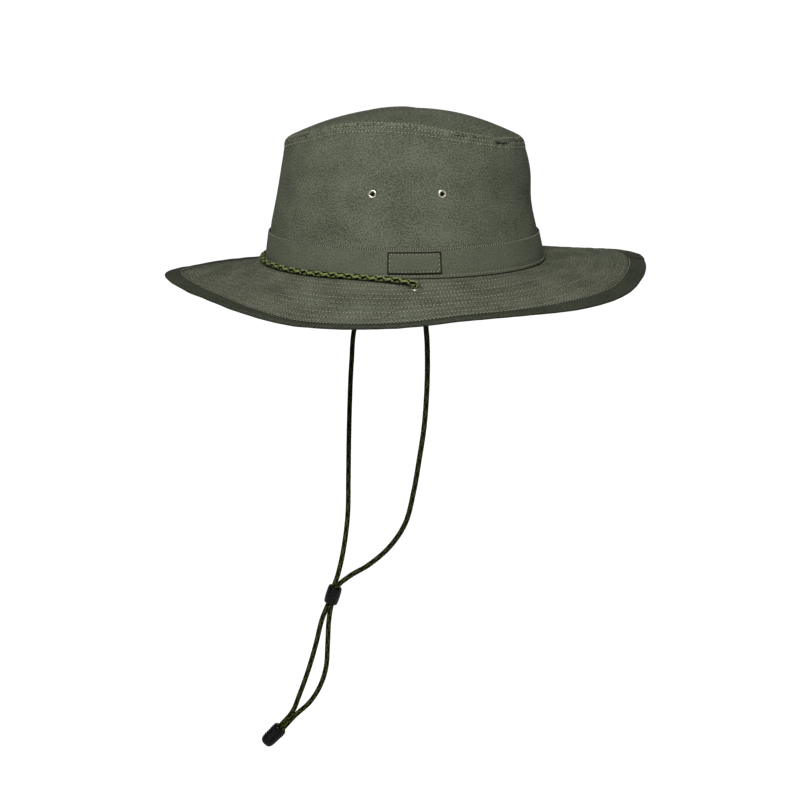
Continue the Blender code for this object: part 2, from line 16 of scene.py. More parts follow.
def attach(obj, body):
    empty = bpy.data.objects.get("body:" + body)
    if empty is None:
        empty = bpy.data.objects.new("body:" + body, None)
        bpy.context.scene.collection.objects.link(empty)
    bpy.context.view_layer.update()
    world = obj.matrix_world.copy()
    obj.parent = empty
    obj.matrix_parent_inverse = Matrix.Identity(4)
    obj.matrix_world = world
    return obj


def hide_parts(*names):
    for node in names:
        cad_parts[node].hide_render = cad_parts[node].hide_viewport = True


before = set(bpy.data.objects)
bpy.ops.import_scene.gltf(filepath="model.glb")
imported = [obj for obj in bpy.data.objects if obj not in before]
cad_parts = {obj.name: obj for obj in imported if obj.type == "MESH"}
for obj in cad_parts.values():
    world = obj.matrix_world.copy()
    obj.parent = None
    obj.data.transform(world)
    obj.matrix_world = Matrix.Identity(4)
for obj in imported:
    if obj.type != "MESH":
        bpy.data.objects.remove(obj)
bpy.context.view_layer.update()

MM = 0.001

# %% [markdown]
# The photograph was taken from the wearer's left with a long lens, looking a little down.
# The same view comes from a camera 1.8 m away, turned to look along -X and tipped by 13.3
# degrees. Metres from the middle of the head opening place it, with -Y the hat's front.

# %% Make the camera
CAMERA_PLACE = (1.7759, -0.0037, 0.3119)
CAMERA_PITCH = 13.3
CAMERA_LENS = 109.35

bpy.ops.object.camera_add(location=CAMERA_PLACE,
                          rotation=(math.radians(90 - CAMERA_PITCH), 0, math.radians(90)))
camera = bpy.context.active_object
camera.name = "photo_camera"
camera.data.lens = CAMERA_LENS
camera.data.sensor_width = 36
camera.data.clip_end = 400
bpy.context.scene.camera = camera
print("camera at", CAMERA_PLACE, "lens", CAMERA_LENS)

# %% [markdown]
# A hat has no straight edges: its shape is a few measured sections with smooth curves
# between them. The tables below are the sections that the CAD part was made from. Reading
# them with NumPy, a whole surface at a time, gives a dense cloth in a moment.

# %% Sizes of the hat
CLEARANCE = 0.3 * MM
BRAID_PLAY = 0.4 * MM
CROWN_HALF_LENGTH = 102.0 * MM
CROWN_HALF_WIDTH = 85.0 * MM
CROWN_HEIGHT = 111.5 * MM
CROWN_WALL = 1.2 * MM
BAND_HEIGHT = 21.5 * MM
BAND_WALL = 1.2 * MM
LABEL_LENGTH = 38.4 * MM
LABEL_HEIGHT = 15.5 * MM
LABEL_WALL = 1.0 * MM
LABEL_TURN = 93.7
LABEL_FOOT = 3.4 * MM
BRIM_WIDTH = 77.0 * MM
BRIM_DROP = 19.0 * MM
BRIM_WALL = 1.4 * MM
BINDING_WIDTH = 13.0 * MM
EYELET_HEIGHT = 59.0 * MM
EYELET_TURNS = {"front": 75.5, "back": 106.5}
CORD_DIAMETER = 3.8 * MM
GROMMET_REACH = 11.5 * MM
GROMMET_TURN = 93.6
RIM_SAG = 0.7 * MM
BACK_RISE = 2.0 * MM
BACK_RISE_TURN = 195.0
BACK_RISE_SPREAD = 16.0

CROWN_ROUND = np.array((
    # turn, left_seam, right_seam, arch_power
    (0, 0.788, 0.788, 2.0),
    (30, 0.853, 0.785, 1.9),
    (60, 0.945, 0.860, 1.8),
    (90, 0.950, 0.885, 1.8),
    (120, 0.882, 0.820, 1.7),
    (150, 0.820, 0.788, 2.0),
    (180, 0.791, 0.791, 2.1),
))
CROWN_UP = np.array((
    # height, front, side, back
    (0.00, 1.000, 1.000, 1.000),
    (0.25, 0.972, 0.958, 0.955),
    (0.50, 0.930, 0.912, 0.911),
    (0.75, 0.891, 0.863, 0.900),
    (1.00, 0.857, 0.805, 0.850),
))
BRIM_ROUND = np.array((
    # turn, width, third, two_thirds, at_binding, at_rim
    (0, 0.985, -0.36, -0.45, -0.52, -0.59),
    (7.5, 0.937, -0.36, -0.48, -0.57, -0.63),
    (15, 0.868, -0.36, -0.53, -0.66, -0.70),
    (30, 0.812, -0.33, -0.60, -0.78, -0.78),
    (45, 0.845, -0.34, -0.68, -0.95, -0.92),
    (60, 0.890, -0.36, -0.76, -1.12, -1.08),
    (75, 0.905, -0.36, -0.75, -1.11, -1.06),
    (90, 0.920, -0.345, -0.68, -0.99, -0.94),
    (105, 0.945, -0.28, -0.54, -0.76, -0.72),
    (120, 0.980, -0.22, -0.45, -0.66, -0.66),
    (135, 1.020, -0.12, -0.32, -0.54, -0.67),
    (150, 1.040, -0.04, -0.17, -0.39, -0.54),
    (165, 1.000, 0.04, 0.02, -0.12, -0.27),
    (180, 0.980, 0.08, 0.09, 0.00, -0.12),
))

# %% Curves through the tables
def through(places, values, place, flat_ends=False):
    """Smooth curve through columns of values, read at many places at once."""
    places = np.asarray(places, float)
    values = np.asarray(values, float)
    place = np.asarray(place, float)
    slopes = np.diff(values) / np.diff(places)
    middle = (slopes[..., 1:] + slopes[..., :-1]) / 2
    tangents = np.concatenate([slopes[..., :1], middle, slopes[..., -1:]], axis=-1)
    if flat_ends:
        tangents[..., 0] = 0.0
        tangents[..., -1] = 0.0
    k = (place[..., None] > places[..., 1:-1]).sum(axis=-1)

    def pick(column, index):
        spread = np.broadcast_to(column, k.shape + column.shape[-1:])
        return np.take_along_axis(spread, index[..., None], axis=-1)[..., 0]

    span = pick(places, k + 1) - pick(places, k)
    t = (place - pick(places, k)) / span
    start = pick(values, k) * (1 + 2 * t) * (1 - t) ** 2
    start = start + pick(tangents, k) * span * t * (1 - t) ** 2
    finish = pick(values, k + 1) * t * t * (3 - 2 * t)
    return start + finish + pick(tangents, k + 1) * span * t * t * (t - 1)


def around(table, column, turn):
    folded = np.abs((np.asarray(turn, float) + 180.0) % 360.0 - 180.0)
    return through(table[:, 0], table[:, column], folded, True)


def along(table, column, place):
    return through(table[:, 0], table[:, column], place)


def unit(vectors):
    return vectors / np.linalg.norm(vectors, axis=-1, keepdims=True)


def oval(turn, half_width, half_length):
    angle = np.radians(turn)
    return np.stack([half_width * np.sin(angle), -half_length * np.cos(angle), 0 * angle], -1)


def oval_normal(turn):
    return unit(oval(turn, CROWN_HALF_LENGTH, CROWN_HALF_WIDTH))


def smooth(value, low, high):
    t = np.clip((value - low) / (high - low), 0.0, 1.0)
    return t * t * (3 - 2 * t)


def bump(value, middle, width):
    return np.exp(-((value - middle) / width) ** 2)


# %% Surfaces of the crown
def seam_height(turn):
    on_left = (turn + 180.0) % 360.0 >= 180.0
    share = np.where(on_left, around(CROWN_ROUND, 1, turn), around(CROWN_ROUND, 2, turn))
    return share * CROWN_HEIGHT


def crown_point(turn, height):
    """Outside of the side wall at a share of its height."""
    towards = np.cos(np.radians(turn))
    end = np.where(towards >= 0, along(CROWN_UP, 1, height), along(CROWN_UP, 3, height))
    share = end * towards ** 2 + along(CROWN_UP, 2, height) * (1 - towards ** 2)
    point = oval(turn, CROWN_HALF_WIDTH * share, CROWN_HALF_LENGTH * share)
    point[..., 2] = height * seam_height(turn)
    return point


def crown_normal(turn, height):
    low = np.maximum(0.0, height - 0.01)
    sideways = crown_point(turn + 1.0, height) - crown_point(turn - 1.0, height)
    upward = crown_point(turn, low + 0.02) - crown_point(turn, low)
    return unit(np.cross(sideways, upward))


def band_point(turn, height, offset):
    share = height / seam_height(turn)
    return crown_point(turn, share) + crown_normal(turn, share) * np.asarray(offset)[..., None]


def tip_point(turn, reach):
    """Outside of the tip, from its middle at reach 0 to its seam at reach 1."""
    edge = crown_point(turn, np.ones_like(turn))
    rim = edge[..., 2] + CLEARANCE + CROWN_WALL
    power = around(CROWN_ROUND, 3, turn)
    point = edge * reach[..., None]
    point[..., 2] = rim + (CROWN_HEIGHT - rim) * (1 - reach ** power)
    return point


# %% Surfaces of the brim
def brim_width(turn):
    return around(BRIM_ROUND, 1, turn) * BRIM_WIDTH


def brim_bound(turn):
    """Where the binding's inner edge lies, as a level distance out from the crown."""
    return brim_width(turn) - BINDING_WIDTH


def brim_point(turn, distance):
    """Middle of the brim's thickness at a level distance out from the crown."""
    width = brim_width(turn)
    bound = brim_bound(turn)
    places = np.stack([0 * bound, bound / 3, bound * 2 / 3, bound, width], axis=-1)
    drops = [0 * bound] + [around(BRIM_ROUND, column, turn) * BRIM_DROP for column in range(2, 6)]
    point = oval(turn, CROWN_HALF_WIDTH, CROWN_HALF_LENGTH) + oval_normal(turn) * distance[..., None]
    drop = through(places, np.stack(drops, axis=-1), np.maximum(distance, 0.0))
    sag = RIM_SAG * np.sin(np.radians(turn)) ** 2 * smooth(distance, bound, width)
    at_back = bump(np.asarray(turn) % 360.0, BACK_RISE_TURN, BACK_RISE_SPREAD)
    sag = sag - BACK_RISE * at_back * smooth(distance, bound * 0.4, width)
    point[..., 2] = drop - sag - CLEARANCE - BRIM_WALL / 2
    return point


def brim_normal(turn, distance):
    step = 0.5 * MM
    near = np.maximum(step, distance)
    sideways = brim_point(turn + 0.5, near) - brim_point(turn - 0.5, near)
    outward = brim_point(turn, near + step) - brim_point(turn, near - step)
    return unit(np.cross(outward, sideways))


def brim_at(turn, distance, offset):
    return brim_point(turn, distance) + brim_normal(turn, distance) * np.asarray(offset)[..., None]


print("crest of the crown:", round(float(tip_point(np.array(0.0), np.array(0.0))[2]), 4), "m")

# %% [markdown]
# Cloth is never quite smooth, so each surface also gets soft waves. A noise function that
# is read at points in metres gives waves of a chosen size, the same on every run.

# %% Waves
def ripple(points, size, seed):
    """Smooth waves of about one size, between -1 and 1."""
    flat = points.reshape(-1, 3) / size + seed * 7.31
    return np.array([noise.noise(Vector(place)) for place in flat]).reshape(points.shape[:-1])


# %% [markdown]
# Every cloth piece starts as Blender's grid primitive. Its columns run round the hat and
# its rows up or out, and each point moves to its place on the surface. Where the sheet
# closes on itself the doubled points are merged. Its UV map holds metres along the cloth,
# so a weave has its real size and follows the surface.

# %% Grids, walls and cuts
def deselect():
    bpy.ops.object.select_all(action="DESELECT")


def edit(piece, *steps):
    """Run edit-mode operators on a whole piece."""
    deselect()
    piece.select_set(True)
    bpy.context.view_layer.objects.active = piece
    bpy.ops.object.mode_set(mode="EDIT")
    bpy.ops.mesh.select_all(action="SELECT")
    for step in steps:
        step()
    bpy.ops.object.mode_set(mode="OBJECT")


def merge():
    bpy.ops.mesh.remove_doubles(threshold=1e-6)


def outwards():
    bpy.ops.mesh.normals_make_consistent(inside=False)


def clear_uv(mesh):
    for chart in list(mesh.uv_layers):
        mesh.uv_layers.remove(chart)


def write_uv(mesh, name, values):
    layer = mesh.uv_layers.get(name) or mesh.uv_layers.new(name=name)
    corners = np.empty(len(mesh.loops), dtype=np.int32)
    mesh.loops.foreach_get("vertex_index", corners)
    layer.data.foreach_set("uv", values[corners].astype(np.float32).ravel())


def grid_form(name, columns, rows, place, weave, closed=False, charts=()):
    """Grid primitive laid on a surface; place and weave take arrays of columns and rows."""
    deselect()
    bpy.ops.mesh.primitive_grid_add(x_subdivisions=len(columns) - 1, y_subdivisions=len(rows) - 1)
    piece = bpy.context.active_object
    piece.name = name
    mesh = piece.data
    mesh.name = name
    across, up = np.meshgrid(columns, rows)
    clear_uv(mesh)
    write_uv(mesh, "weave", np.stack(weave(across, up), axis=-1).reshape(-1, 2))
    for title, chart in charts:
        write_uv(mesh, title, np.stack(chart(across, up), axis=-1).reshape(-1, 2))
    mesh.vertices.foreach_set("co", place(across, up).astype(np.float32).ravel())
    mesh.update()
    edit(piece, merge, *([outwards] if closed else []))
    return piece


def apply_modifiers(piece):
    deselect()
    piece.select_set(True)
    bpy.context.view_layer.objects.active = piece
    for modifier in list(piece.modifiers):
        bpy.ops.object.modifier_apply(modifier=modifier.name)


def thicken(piece, wall):
    solidify = piece.modifiers.new("Wall", "SOLIDIFY")
    solidify.thickness = wall
    solidify.offset = -1.0
    solidify.use_even_offset = True
    apply_modifiers(piece)


def cut_out(piece, cutter):
    """Take a cutter's shape out of a piece and throw the cutter away."""
    cut = piece.modifiers.new("Cut", "BOOLEAN")
    cut.operation = "DIFFERENCE"
    cut.solver = "EXACT"
    cut.object = cutter
    apply_modifiers(piece)
    bpy.data.objects.remove(cutter, do_unlink=True)


def pierce(piece, placements, radius, depth):
    """Cut round holes through a piece."""
    for placement in placements:
        bpy.ops.mesh.primitive_cylinder_add(vertices=32, radius=radius, depth=depth)
        drill = bpy.context.active_object
        drill.matrix_world = placement
        cut_out(piece, drill)


def facing(point, normal):
    """Placement whose local +Z lies along a normal."""
    turned = Vector(normal).to_track_quat("Z", "Y").to_matrix().to_4x4()
    return Matrix.Translation(Vector(point)) @ turned


def dress(piece, look, slot, *nodes):
    """Material, shading and body of a piece, and the CAD nodes that it stands for; slot is not used."""
    piece.data.materials.clear()
    piece.data.materials.append(look.material)
    piece.data.shade_smooth()
    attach(piece, "root")
    if nodes:
        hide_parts(*nodes)
    print(piece.name, len(piece.data.polygons), "faces")
    return piece


# %% [markdown]
# A material is a small graph of nodes. Written as Python sums it reads like a formula:
# one class stands for a socket and turns each operator into a Math node, and another
# stands for a material and makes every other kind of node.

# %% Shader sums
class Socket:
    """An output of a node, on which Python's operators add Math nodes."""

    def __init__(self, look, socket):
        self.look = look
        self.socket = socket

    def math(self, operation, *others):
        values = dict(enumerate((self,) + others))
        return self.look.node("ShaderNodeMath", {"operation": operation}, values)

    def __add__(self, other):
        return self.math("ADD", other)

    def __sub__(self, other):
        return self.math("SUBTRACT", other)

    def __rsub__(self, other):
        return self.look.node("ShaderNodeMath", {"operation": "SUBTRACT"}, {0: other, 1: self})

    def __mul__(self, other):
        return self.math("MULTIPLY", other)

    __radd__ = __add__
    __rmul__ = __mul__


class Look:
    """A material and the nodes in it."""

    def __init__(self, name, roughness, metallic=0.0):
        self.material = bpy.data.materials.new(name)
        self.material.use_nodes = True
        self.tree = self.material.node_tree
        self.shader = self.tree.nodes["Principled BSDF"]
        self.shader.inputs["Roughness"].default_value = roughness
        self.shader.inputs["Metallic"].default_value = metallic

    def feed(self, socket, value):
        if isinstance(value, Socket):
            self.tree.links.new(value.socket, socket)
        elif isinstance(value, tuple) and socket.type == "RGBA":
            socket.default_value = (*value, 1.0)
        else:
            socket.default_value = value

    def node(self, kind, settings, values, output=0):
        made = self.tree.nodes.new(kind)
        for setting, value in settings.items():
            setattr(made, setting, value)
        for slot, value in values.items():
            self.feed(made.inputs[slot], value)
        return Socket(self, made.outputs[output])

    def uv(self, name):
        chart = self.node("ShaderNodeUVMap", {"uv_map": name}, {})
        return [self.node("ShaderNodeSeparateXYZ", {}, {0: chart}, axis) for axis in (0, 1)]

    def place(self):
        return self.node("ShaderNodeTexCoord", {}, {}, "Object")

    def vector(self, *parts):
        return self.node("ShaderNodeCombineXYZ", {}, dict(enumerate(parts)))

    def noise(self, vector, scale, detail=2.0):
        return self.node("ShaderNodeTexNoise", {}, {"Vector": vector, "Scale": scale, "Detail": detail})

    def band(self, value, low, high):
        """0 below low, 1 above high, smooth between."""
        return self.node("ShaderNodeMapRange", {"interpolation_type": "SMOOTHSTEP"},
                         {"Value": value, "From Min": low, "From Max": high})

    def blend(self, share, first, second):
        return self.node("ShaderNodeMix", {"data_type": "RGBA"}, {0: share, 6: first, 7: second}, 2)

    def paint(self, **values):
        for slot, value in values.items():
            self.feed(self.shader.inputs[slot.replace("_", " ").title()], value)

    def relief(self, height, distance, strength=1.0):
        bumped = self.node("ShaderNodeBump", {}, {"Strength": strength, "Distance": distance,
                                                  "Height": height})
        self.feed(self.shader.inputs["Normal"], bumped)


# %% [markdown]
# The cloth is a fine twill. Close up its yarns cross at about half a millimetre and make
# slanting lines. From further off only the slubs show, which are thicker stretches of
# yarn that run along the cloth, and a faint mottling where wax and wear have darkened it.

# %% Cloth
YARN = 0.5 * MM
TWO_PI = 2 * math.pi


def cloth(name, dark, light, roughness=0.74, seed=0.0, speckle=1.0, rows=False, edge=None):
    look = Look(name, roughness)
    u, v = look.uv("weave")
    warp = (u * (TWO_PI / YARN)).math("SINE")
    weft = (v * (TWO_PI / YARN)).math("SINE")
    wale = ((u + v) * (TWO_PI / (2 * YARN))).math("SINE")
    thread = warp * weft * 0.5 + wale * 0.5
    fleck = look.noise(look.vector(u * 830, v * 1150, seed), 1.0, 3.0)
    slub = look.noise(look.vector(u * 170, v * 1000, seed + 5), 1.0, 2.0)
    mottle = look.noise(look.vector(u * 38, v * 52, seed + 9), 1.0, 4.0)
    shade = (fleck - 0.5) * (2.6 * speckle) + (slub - 0.5) * (0.6 * speckle)
    shade = shade + (mottle - 0.5) * (0.7 * speckle) + thread * 0.10 + 0.5
    if rows:
        row = look.uv("rows")[1]
        beside = (row - row.math("ROUND")).math("ABSOLUTE")
        groove = 1 - look.band(beside, 0.02, 0.12)
        # Along each needle line the colour is darkened: painted shade in the stitch groove.
        shade = shade - groove * 0.42
        thread = thread - groove * 1.6
    colour = look.blend(shade, dark, light)
    # With edge given, the colour turns near black within about a millimetre of the rim: painted shade for
    # the gap round a raised patch.
    if edge:
        inset = (edge[0] - u.math("ABSOLUTE")).math("MINIMUM", edge[1] - v.math("ABSOLUTE"))
        colour = look.blend(look.band(inset, 0.6 * MM, 1.4 * MM), (0.010, 0.010, 0.008), colour)
    look.paint(base_color=colour, roughness=look.band(slub, 0.2, 0.9) * -0.12 + (roughness + 0.06))
    look.relief(thread * 0.5 + fleck * 1.5 + slub * 0.7, 0.10 * MM, 0.8)
    look.shader.inputs["Specular IOR Level"].default_value = 0.02
    return look


TWILL_DARK = (0.040, 0.045, 0.031)
TWILL_LIGHT = (0.116, 0.126, 0.090)
BRIM_DARK = (0.037, 0.041, 0.028)
BRIM_LIGHT = (0.112, 0.120, 0.086)
twill = cloth("twill", TWILL_DARK, TWILL_LIGHT, speckle=1.35)
band_twill = cloth("band_twill", TWILL_DARK, TWILL_LIGHT, 0.62, seed=2.0, speckle=0.75)
brim_twill = cloth("brim_twill", BRIM_DARK, BRIM_LIGHT, seed=3.0, speckle=2.1, rows=True)
binding_twill = cloth("binding_twill", (0.016, 0.018, 0.012), (0.050, 0.055, 0.038), 0.66, seed=6.0)
# The label's colour goes near black at its rim: painted shade.
label_twill = cloth("label_twill", (0.050, 0.055, 0.037), (0.100, 0.108, 0.074), 0.66, seed=8.0,
                    speckle=0.8, edge=(LABEL_LENGTH / 2, LABEL_HEIGHT / 2))

# %% Sewing thread, and painted shade for the needle holes
thread_look = Look("sewing_thread", 0.6)
strand = thread_look.noise(thread_look.place(), 900.0)
thread_look.paint(base_color=thread_look.blend(strand, (0.20, 0.20, 0.135), (0.42, 0.42, 0.31)))
thread_look.relief(strand, 0.08 * MM, 0.7)
# Near-black bars stand for the needle holes: their colour is painted shade, with noise in it.
hole_shade_look = Look("needle_hole_shade", 0.9)
hole_shade_noise = hole_shade_look.noise(hole_shade_look.place(), 700.0)
hole_shade_look.paint(base_color=hole_shade_look.blend(hole_shade_noise, (0.005, 0.005, 0.003), (0.016, 0.016, 0.011)))

# %% [markdown]
# The eyelets and grommets are plated brass that has dulled. Metal gets its look from what
# it reflects, so its own colour hardly varies, and fine noise in the roughness breaks up
# the highlights as handling does.

# %% Metal and plastic
brass = Look("antique_brass", 0.3, 1.0)
tarnish = brass.noise(brass.place(), 420.0, 4.0)
polished = brass.band(tarnish, 0.35, 0.7)
brass.paint(base_color=brass.blend(polished, (0.30, 0.285, 0.20), (0.62, 0.60, 0.50)),
            roughness=brass.band(tarnish, 0.3, 0.75) * -0.16 + 0.42)
brass.relief(tarnish, 0.03 * MM, 0.5)

plastic = Look("moulded_plastic", 0.32)
plastic.shader.inputs["Specular IOR Level"].default_value = 0.10
grain = plastic.noise(plastic.place(), 2600.0, 2.0)
scuff = plastic.noise(plastic.place(), 300.0, 4.0)
scuffed = plastic.band(scuff, 0.45, 0.8)
plastic.paint(base_color=plastic.blend(scuffed, (0.0015, 0.0015, 0.0012), (0.005, 0.005, 0.0045)),
              roughness=plastic.band(scuff, 0.3, 0.8) * 0.22 + 0.24)
plastic.relief(grain, 0.03 * MM, 0.6)

# %% [markdown]
# The cord is a braid: two families of strands wind round it in opposite directions and
# take turns on top. Its UV map holds the turn round the cord and the metres along it. In
# those two numbers each family is a set of slanting stripes, and the parity of the stripe
# numbers says which family is on top. Two strands in four are black, which gives the
# flecks. The photograph shows the cord paler on the hat than where it hangs below it, so
# the yarn's two colours change with height.

# %% Braid pattern
STRANDS = 12
LAY = 36.0 * MM
BLACK_EVERY = 4.0
BLACK_BELOW = 1.5


def family(turn, metres, sign):
    return STRANDS * (turn + sign * metres / LAY)


braid = Look("braided_cord", 0.72)
braid.shader.inputs["Specular IOR Level"].default_value = 0.05
turn_u, metres_v = braid.uv("weave")
numbers = []
blacks = []
crests = []
for sign in (1, -1):
    hand = (turn_u + metres_v * (sign / LAY)) * STRANDS
    numbers.append(hand.math("FLOOR"))
    blacks.append(numbers[-1].math("FLOORED_MODULO", BLACK_EVERY).math("LESS_THAN", BLACK_BELOW))
    crests.append((hand.math("FRACT") * math.pi).math("SINE"))
on_top = (numbers[0] + numbers[1]).math("FLOORED_MODULO", 2.0)
black = blacks[0] * on_top + blacks[1] * (1 - on_top)
crest = crests[0] * on_top + crests[1] * (1 - on_top)
filaments = braid.noise(braid.vector(turn_u * 60, metres_v * 2200, 0.0), 1.0, 2.0)
height = braid.node("ShaderNodeSeparateXYZ", {}, {0: braid.place()}, 2)
on_hat = braid.band(height, -30 * MM, -8 * MM)
yarn_low = braid.blend(on_hat, (0.012, 0.016, 0.003), (0.050, 0.062, 0.014))
yarn_high = braid.blend(on_hat, (0.052, 0.064, 0.012), (0.205, 0.245, 0.092))
# The yarn is darker where crest is low, between the strands: painted shade in the braid's grooves. The
# filaments' noise is the yarn's own tone.
yarn = braid.blend(crest * 0.65 + filaments * 0.45, yarn_low, yarn_high)
braid.paint(base_color=braid.blend(black, yarn, (0.003, 0.003, 0.002)))
braid.relief(crest + filaments * 0.3, 0.25 * MM, 0.9)

# %% [markdown]
# The cord comes before the cloth, because its real length fixes where it lies. The route
# repeats the CAD cord's own points: up the left strand, round the front of the crown, and
# down the right strand. A smooth curve runs through them, and a tube follows the curve.

# %% The cord's route
STRAND_SPACING = 4.4 * MM
STRAND_SLANT = 60.0
SLIDER_LENGTH = 13.6 * MM
SLIDER_WIDTH = 11.2 * MM
SLIDER_DEPTH = 11.2 * MM
SLIDER_CENTRE = Vector((0.0, -55.0, -261.0)) * MM
SLIDER_UP = Vector((0.0, 0.298, 0.955)).normalized()
END_LENGTH = 18.6 * MM
END_WIDTH = 11.0 * MM
END_DEPTH = 10.8 * MM
END_SOCKET_DEPTH = 6.0 * MM
END_MOUTH = Vector((0.0, -96.0, -368.9)) * MM
END_DOWN = Vector((0.0, -0.70, -0.714)).normalized()
CORD_WRAP_TURNS = (72, 54, 36, 18, 0, -18, -36, -54, -72)
CORD_WRAP_LIFT = 0.9 * MM
GROMMET_PASS = (3.6 * MM, 0.0, -4.2 * MM)
LEFT_STRAND = (
    (96.0, 12.5, -20.0), (94.0, 15.0, -37.0), (90.0, 15.8, -60.0), (85.0, 15.3, -84.0),
    (77.0, 13.6, -110.0), (67.0, 10.2, -137.0), (55.5, 6.3, -164.0), (41.0, 0.3, -192.0),
    (24.5, -12.0, -216.0), (11.5, -28.0, -234.0), (4.0, -41.5, -244.5),
)
LEFT_TAIL = (
    (1.9, -58.3, -281.5), (1.9, -59.3, -300.0), (1.9, -60.7, -319.0), (1.9, -65.3, -334.0),
    (1.9, -73.6, -347.5), (1.9, -84.9, -358.2),
)
RIGHT_STRAND = (
    (-96.0, -5.0, -22.0), (-94.0, -26.0, -44.0), (-90.0, -38.5, -68.0), (-82.0, -41.7, -98.0),
    (-72.0, -43.0, -128.0), (-61.0, -43.6, -156.0), (-48.0, -43.8, -182.0),
    (-32.0, -44.2, -208.0), (-15.0, -47.4, -231.0), (-4.0, -51.2, -246.0),
)
RIGHT_TAIL = (
    (-1.9, -63.6, -281.5), (-1.9, -68.6, -302.0), (-1.9, -74.6, -323.0), (-1.9, -82.0, -344.0),
    (-1.9, -86.9, -356.2),
)


def grommet_placement(sign):
    turn = np.array(sign * GROMMET_TURN)
    reach = np.array(GROMMET_REACH)
    return facing(brim_point(turn, reach), brim_normal(turn, reach))


def across(direction):
    """Direction across a piece on the cord, level with the hat's middle plane."""
    side = Vector((1.0, 0.0, 0.0)).cross(direction).normalized()
    return side if side.y > 0 else -side


def spread(direction):
    """Direction from the right strand to the left one, where both run through a piece."""
    slant = math.radians(STRAND_SLANT)
    return across(direction) * math.cos(slant) + Vector((1.0, 0.0, 0.0)) * math.sin(slant)


def strand_route(sign, strand, tail):
    """One strand from its grommet down to the end piece."""
    placement = grommet_placement(sign)
    points = [placement @ Vector((0, 0, height)) for height in GROMMET_PASS]
    points += [Vector(point) * MM for point in strand]
    shift = spread(SLIDER_UP) * sign * STRAND_SPACING / 2
    for height in (SLIDER_LENGTH / 2 + MM, 0.0, -SLIDER_LENGTH / 2 - MM):
        points.append(SLIDER_CENTRE + SLIDER_UP * height + shift)
    points += [Vector(point) * MM for point in tail]
    shift = spread(END_DOWN) * sign * STRAND_SPACING / 2
    for depth in (-2.0 * MM, END_SOCKET_DEPTH - CLEARANCE):
        points.append(END_MOUTH + END_DOWN * depth + shift)
    return points


def smooth_route(points, step):
    """Points along a smooth curve through a route, about one step apart."""
    padded = [points[0] * 2 - points[1]] + list(points) + [points[-1] * 2 - points[-2]]
    made = []
    for before, start, finish, after in zip(padded, padded[1:], padded[2:], padded[3:]):
        gaps = [max((b - a).length, 1e-9) ** 0.5 for a, b in
                ((before, start), (start, finish), (finish, after))]
        slope_in = ((start - before) / gaps[0] - (finish - before) / (gaps[0] + gaps[1])
                    + (finish - start) / gaps[1]) * gaps[1]
        slope_out = ((finish - start) / gaps[1] - (after - start) / (gaps[1] + gaps[2])
                     + (after - finish) / gaps[2]) * gaps[1]
        count = max(1, round((finish - start).length / step))
        for k in range(count):
            t = k / count
            made.append(start * (1 + 2 * t) * (1 - t) ** 2 + slope_in * t * (1 - t) ** 2
                        + finish * t * t * (3 - 2 * t) + slope_out * t * t * (t - 1))
    made.append(points[-1])
    return made


wrap_offset = CLEARANCE + BAND_WALL + BRAID_PLAY + CORD_DIAMETER / 2
wrap = [Vector(band_point(np.array(float(turn)), np.array(CORD_WRAP_LIFT), np.array(wrap_offset)))
        for turn in CORD_WRAP_TURNS]
left_route = strand_route(1, LEFT_STRAND, LEFT_TAIL)
route = left_route[::-1] + wrap + strand_route(-1, RIGHT_STRAND, RIGHT_TAIL)
line = np.array([tuple(point) for point in smooth_route(route, 0.8 * MM)])
steps = np.linalg.norm(np.diff(line, axis=0), axis=1)
metres = np.concatenate([[0.0], np.cumsum(steps)])
print("cord length:", round(float(metres[-1]), 4), "m in", len(line), "points")

# %% [markdown]
# The tube's rings must not twist, or the braid would turn with them. Each ring takes over
# the last one's side direction and drops only the part along the cord. The strands are
# real relief, a fifth of a millimetre high, so that they also show at the cord's edge.

# %% The cord
CORD_SIDES = 48
BRAID_RELIEF = 0.2 * MM


def untwisted(points):
    ways = unit(np.gradient(points, axis=0))
    side = np.array((1.0, 0.0, 0.0))
    sides = []
    for way in ways:
        side = side - way * np.dot(side, way)
        side = side / np.linalg.norm(side)
        sides.append(side)
    sides = np.array(sides)
    return sides, np.cross(ways, sides)


cord_side, cord_up = untwisted(line)


def cord_place(turn, index):
    k = index.astype(int)
    angle = turn * TWO_PI
    a = family(turn, metres[k], 1)
    b = family(turn, metres[k], -1)
    top = (np.floor(a) + np.floor(b)) % 2
    crest = np.where(top > 0.5, np.sin(math.pi * (a % 1)), np.sin(math.pi * (b % 1)))
    ends = np.minimum(k, len(line) - 1 - k)
    radius = CORD_DIAMETER / 2 - BRAID_RELIEF + BRAID_RELIEF * 1.3 * crest
    radius = np.where(ends == 0, 0.0, radius)
    out = cord_side[k] * np.cos(angle)[..., None] + cord_up[k] * np.sin(angle)[..., None]
    return line[k] + out * radius[..., None]


chin_cord = grid_form("braided_chin_cord", np.linspace(0, 1, CORD_SIDES + 1), np.arange(len(line)),
                      cord_place, lambda turn, index: (turn, metres[index.astype(int)]), closed=True)
dress(chin_cord, braid, "braided_cord", "chin_cord")

# %% [markdown]
# The slider is a short black barrel that both strands run through. The end piece is a
# clamshell with ribs to grip on one half and a parting groove. Both are lofted from one
# squarish round outline, which is scaled along their length, and cut by a slot.

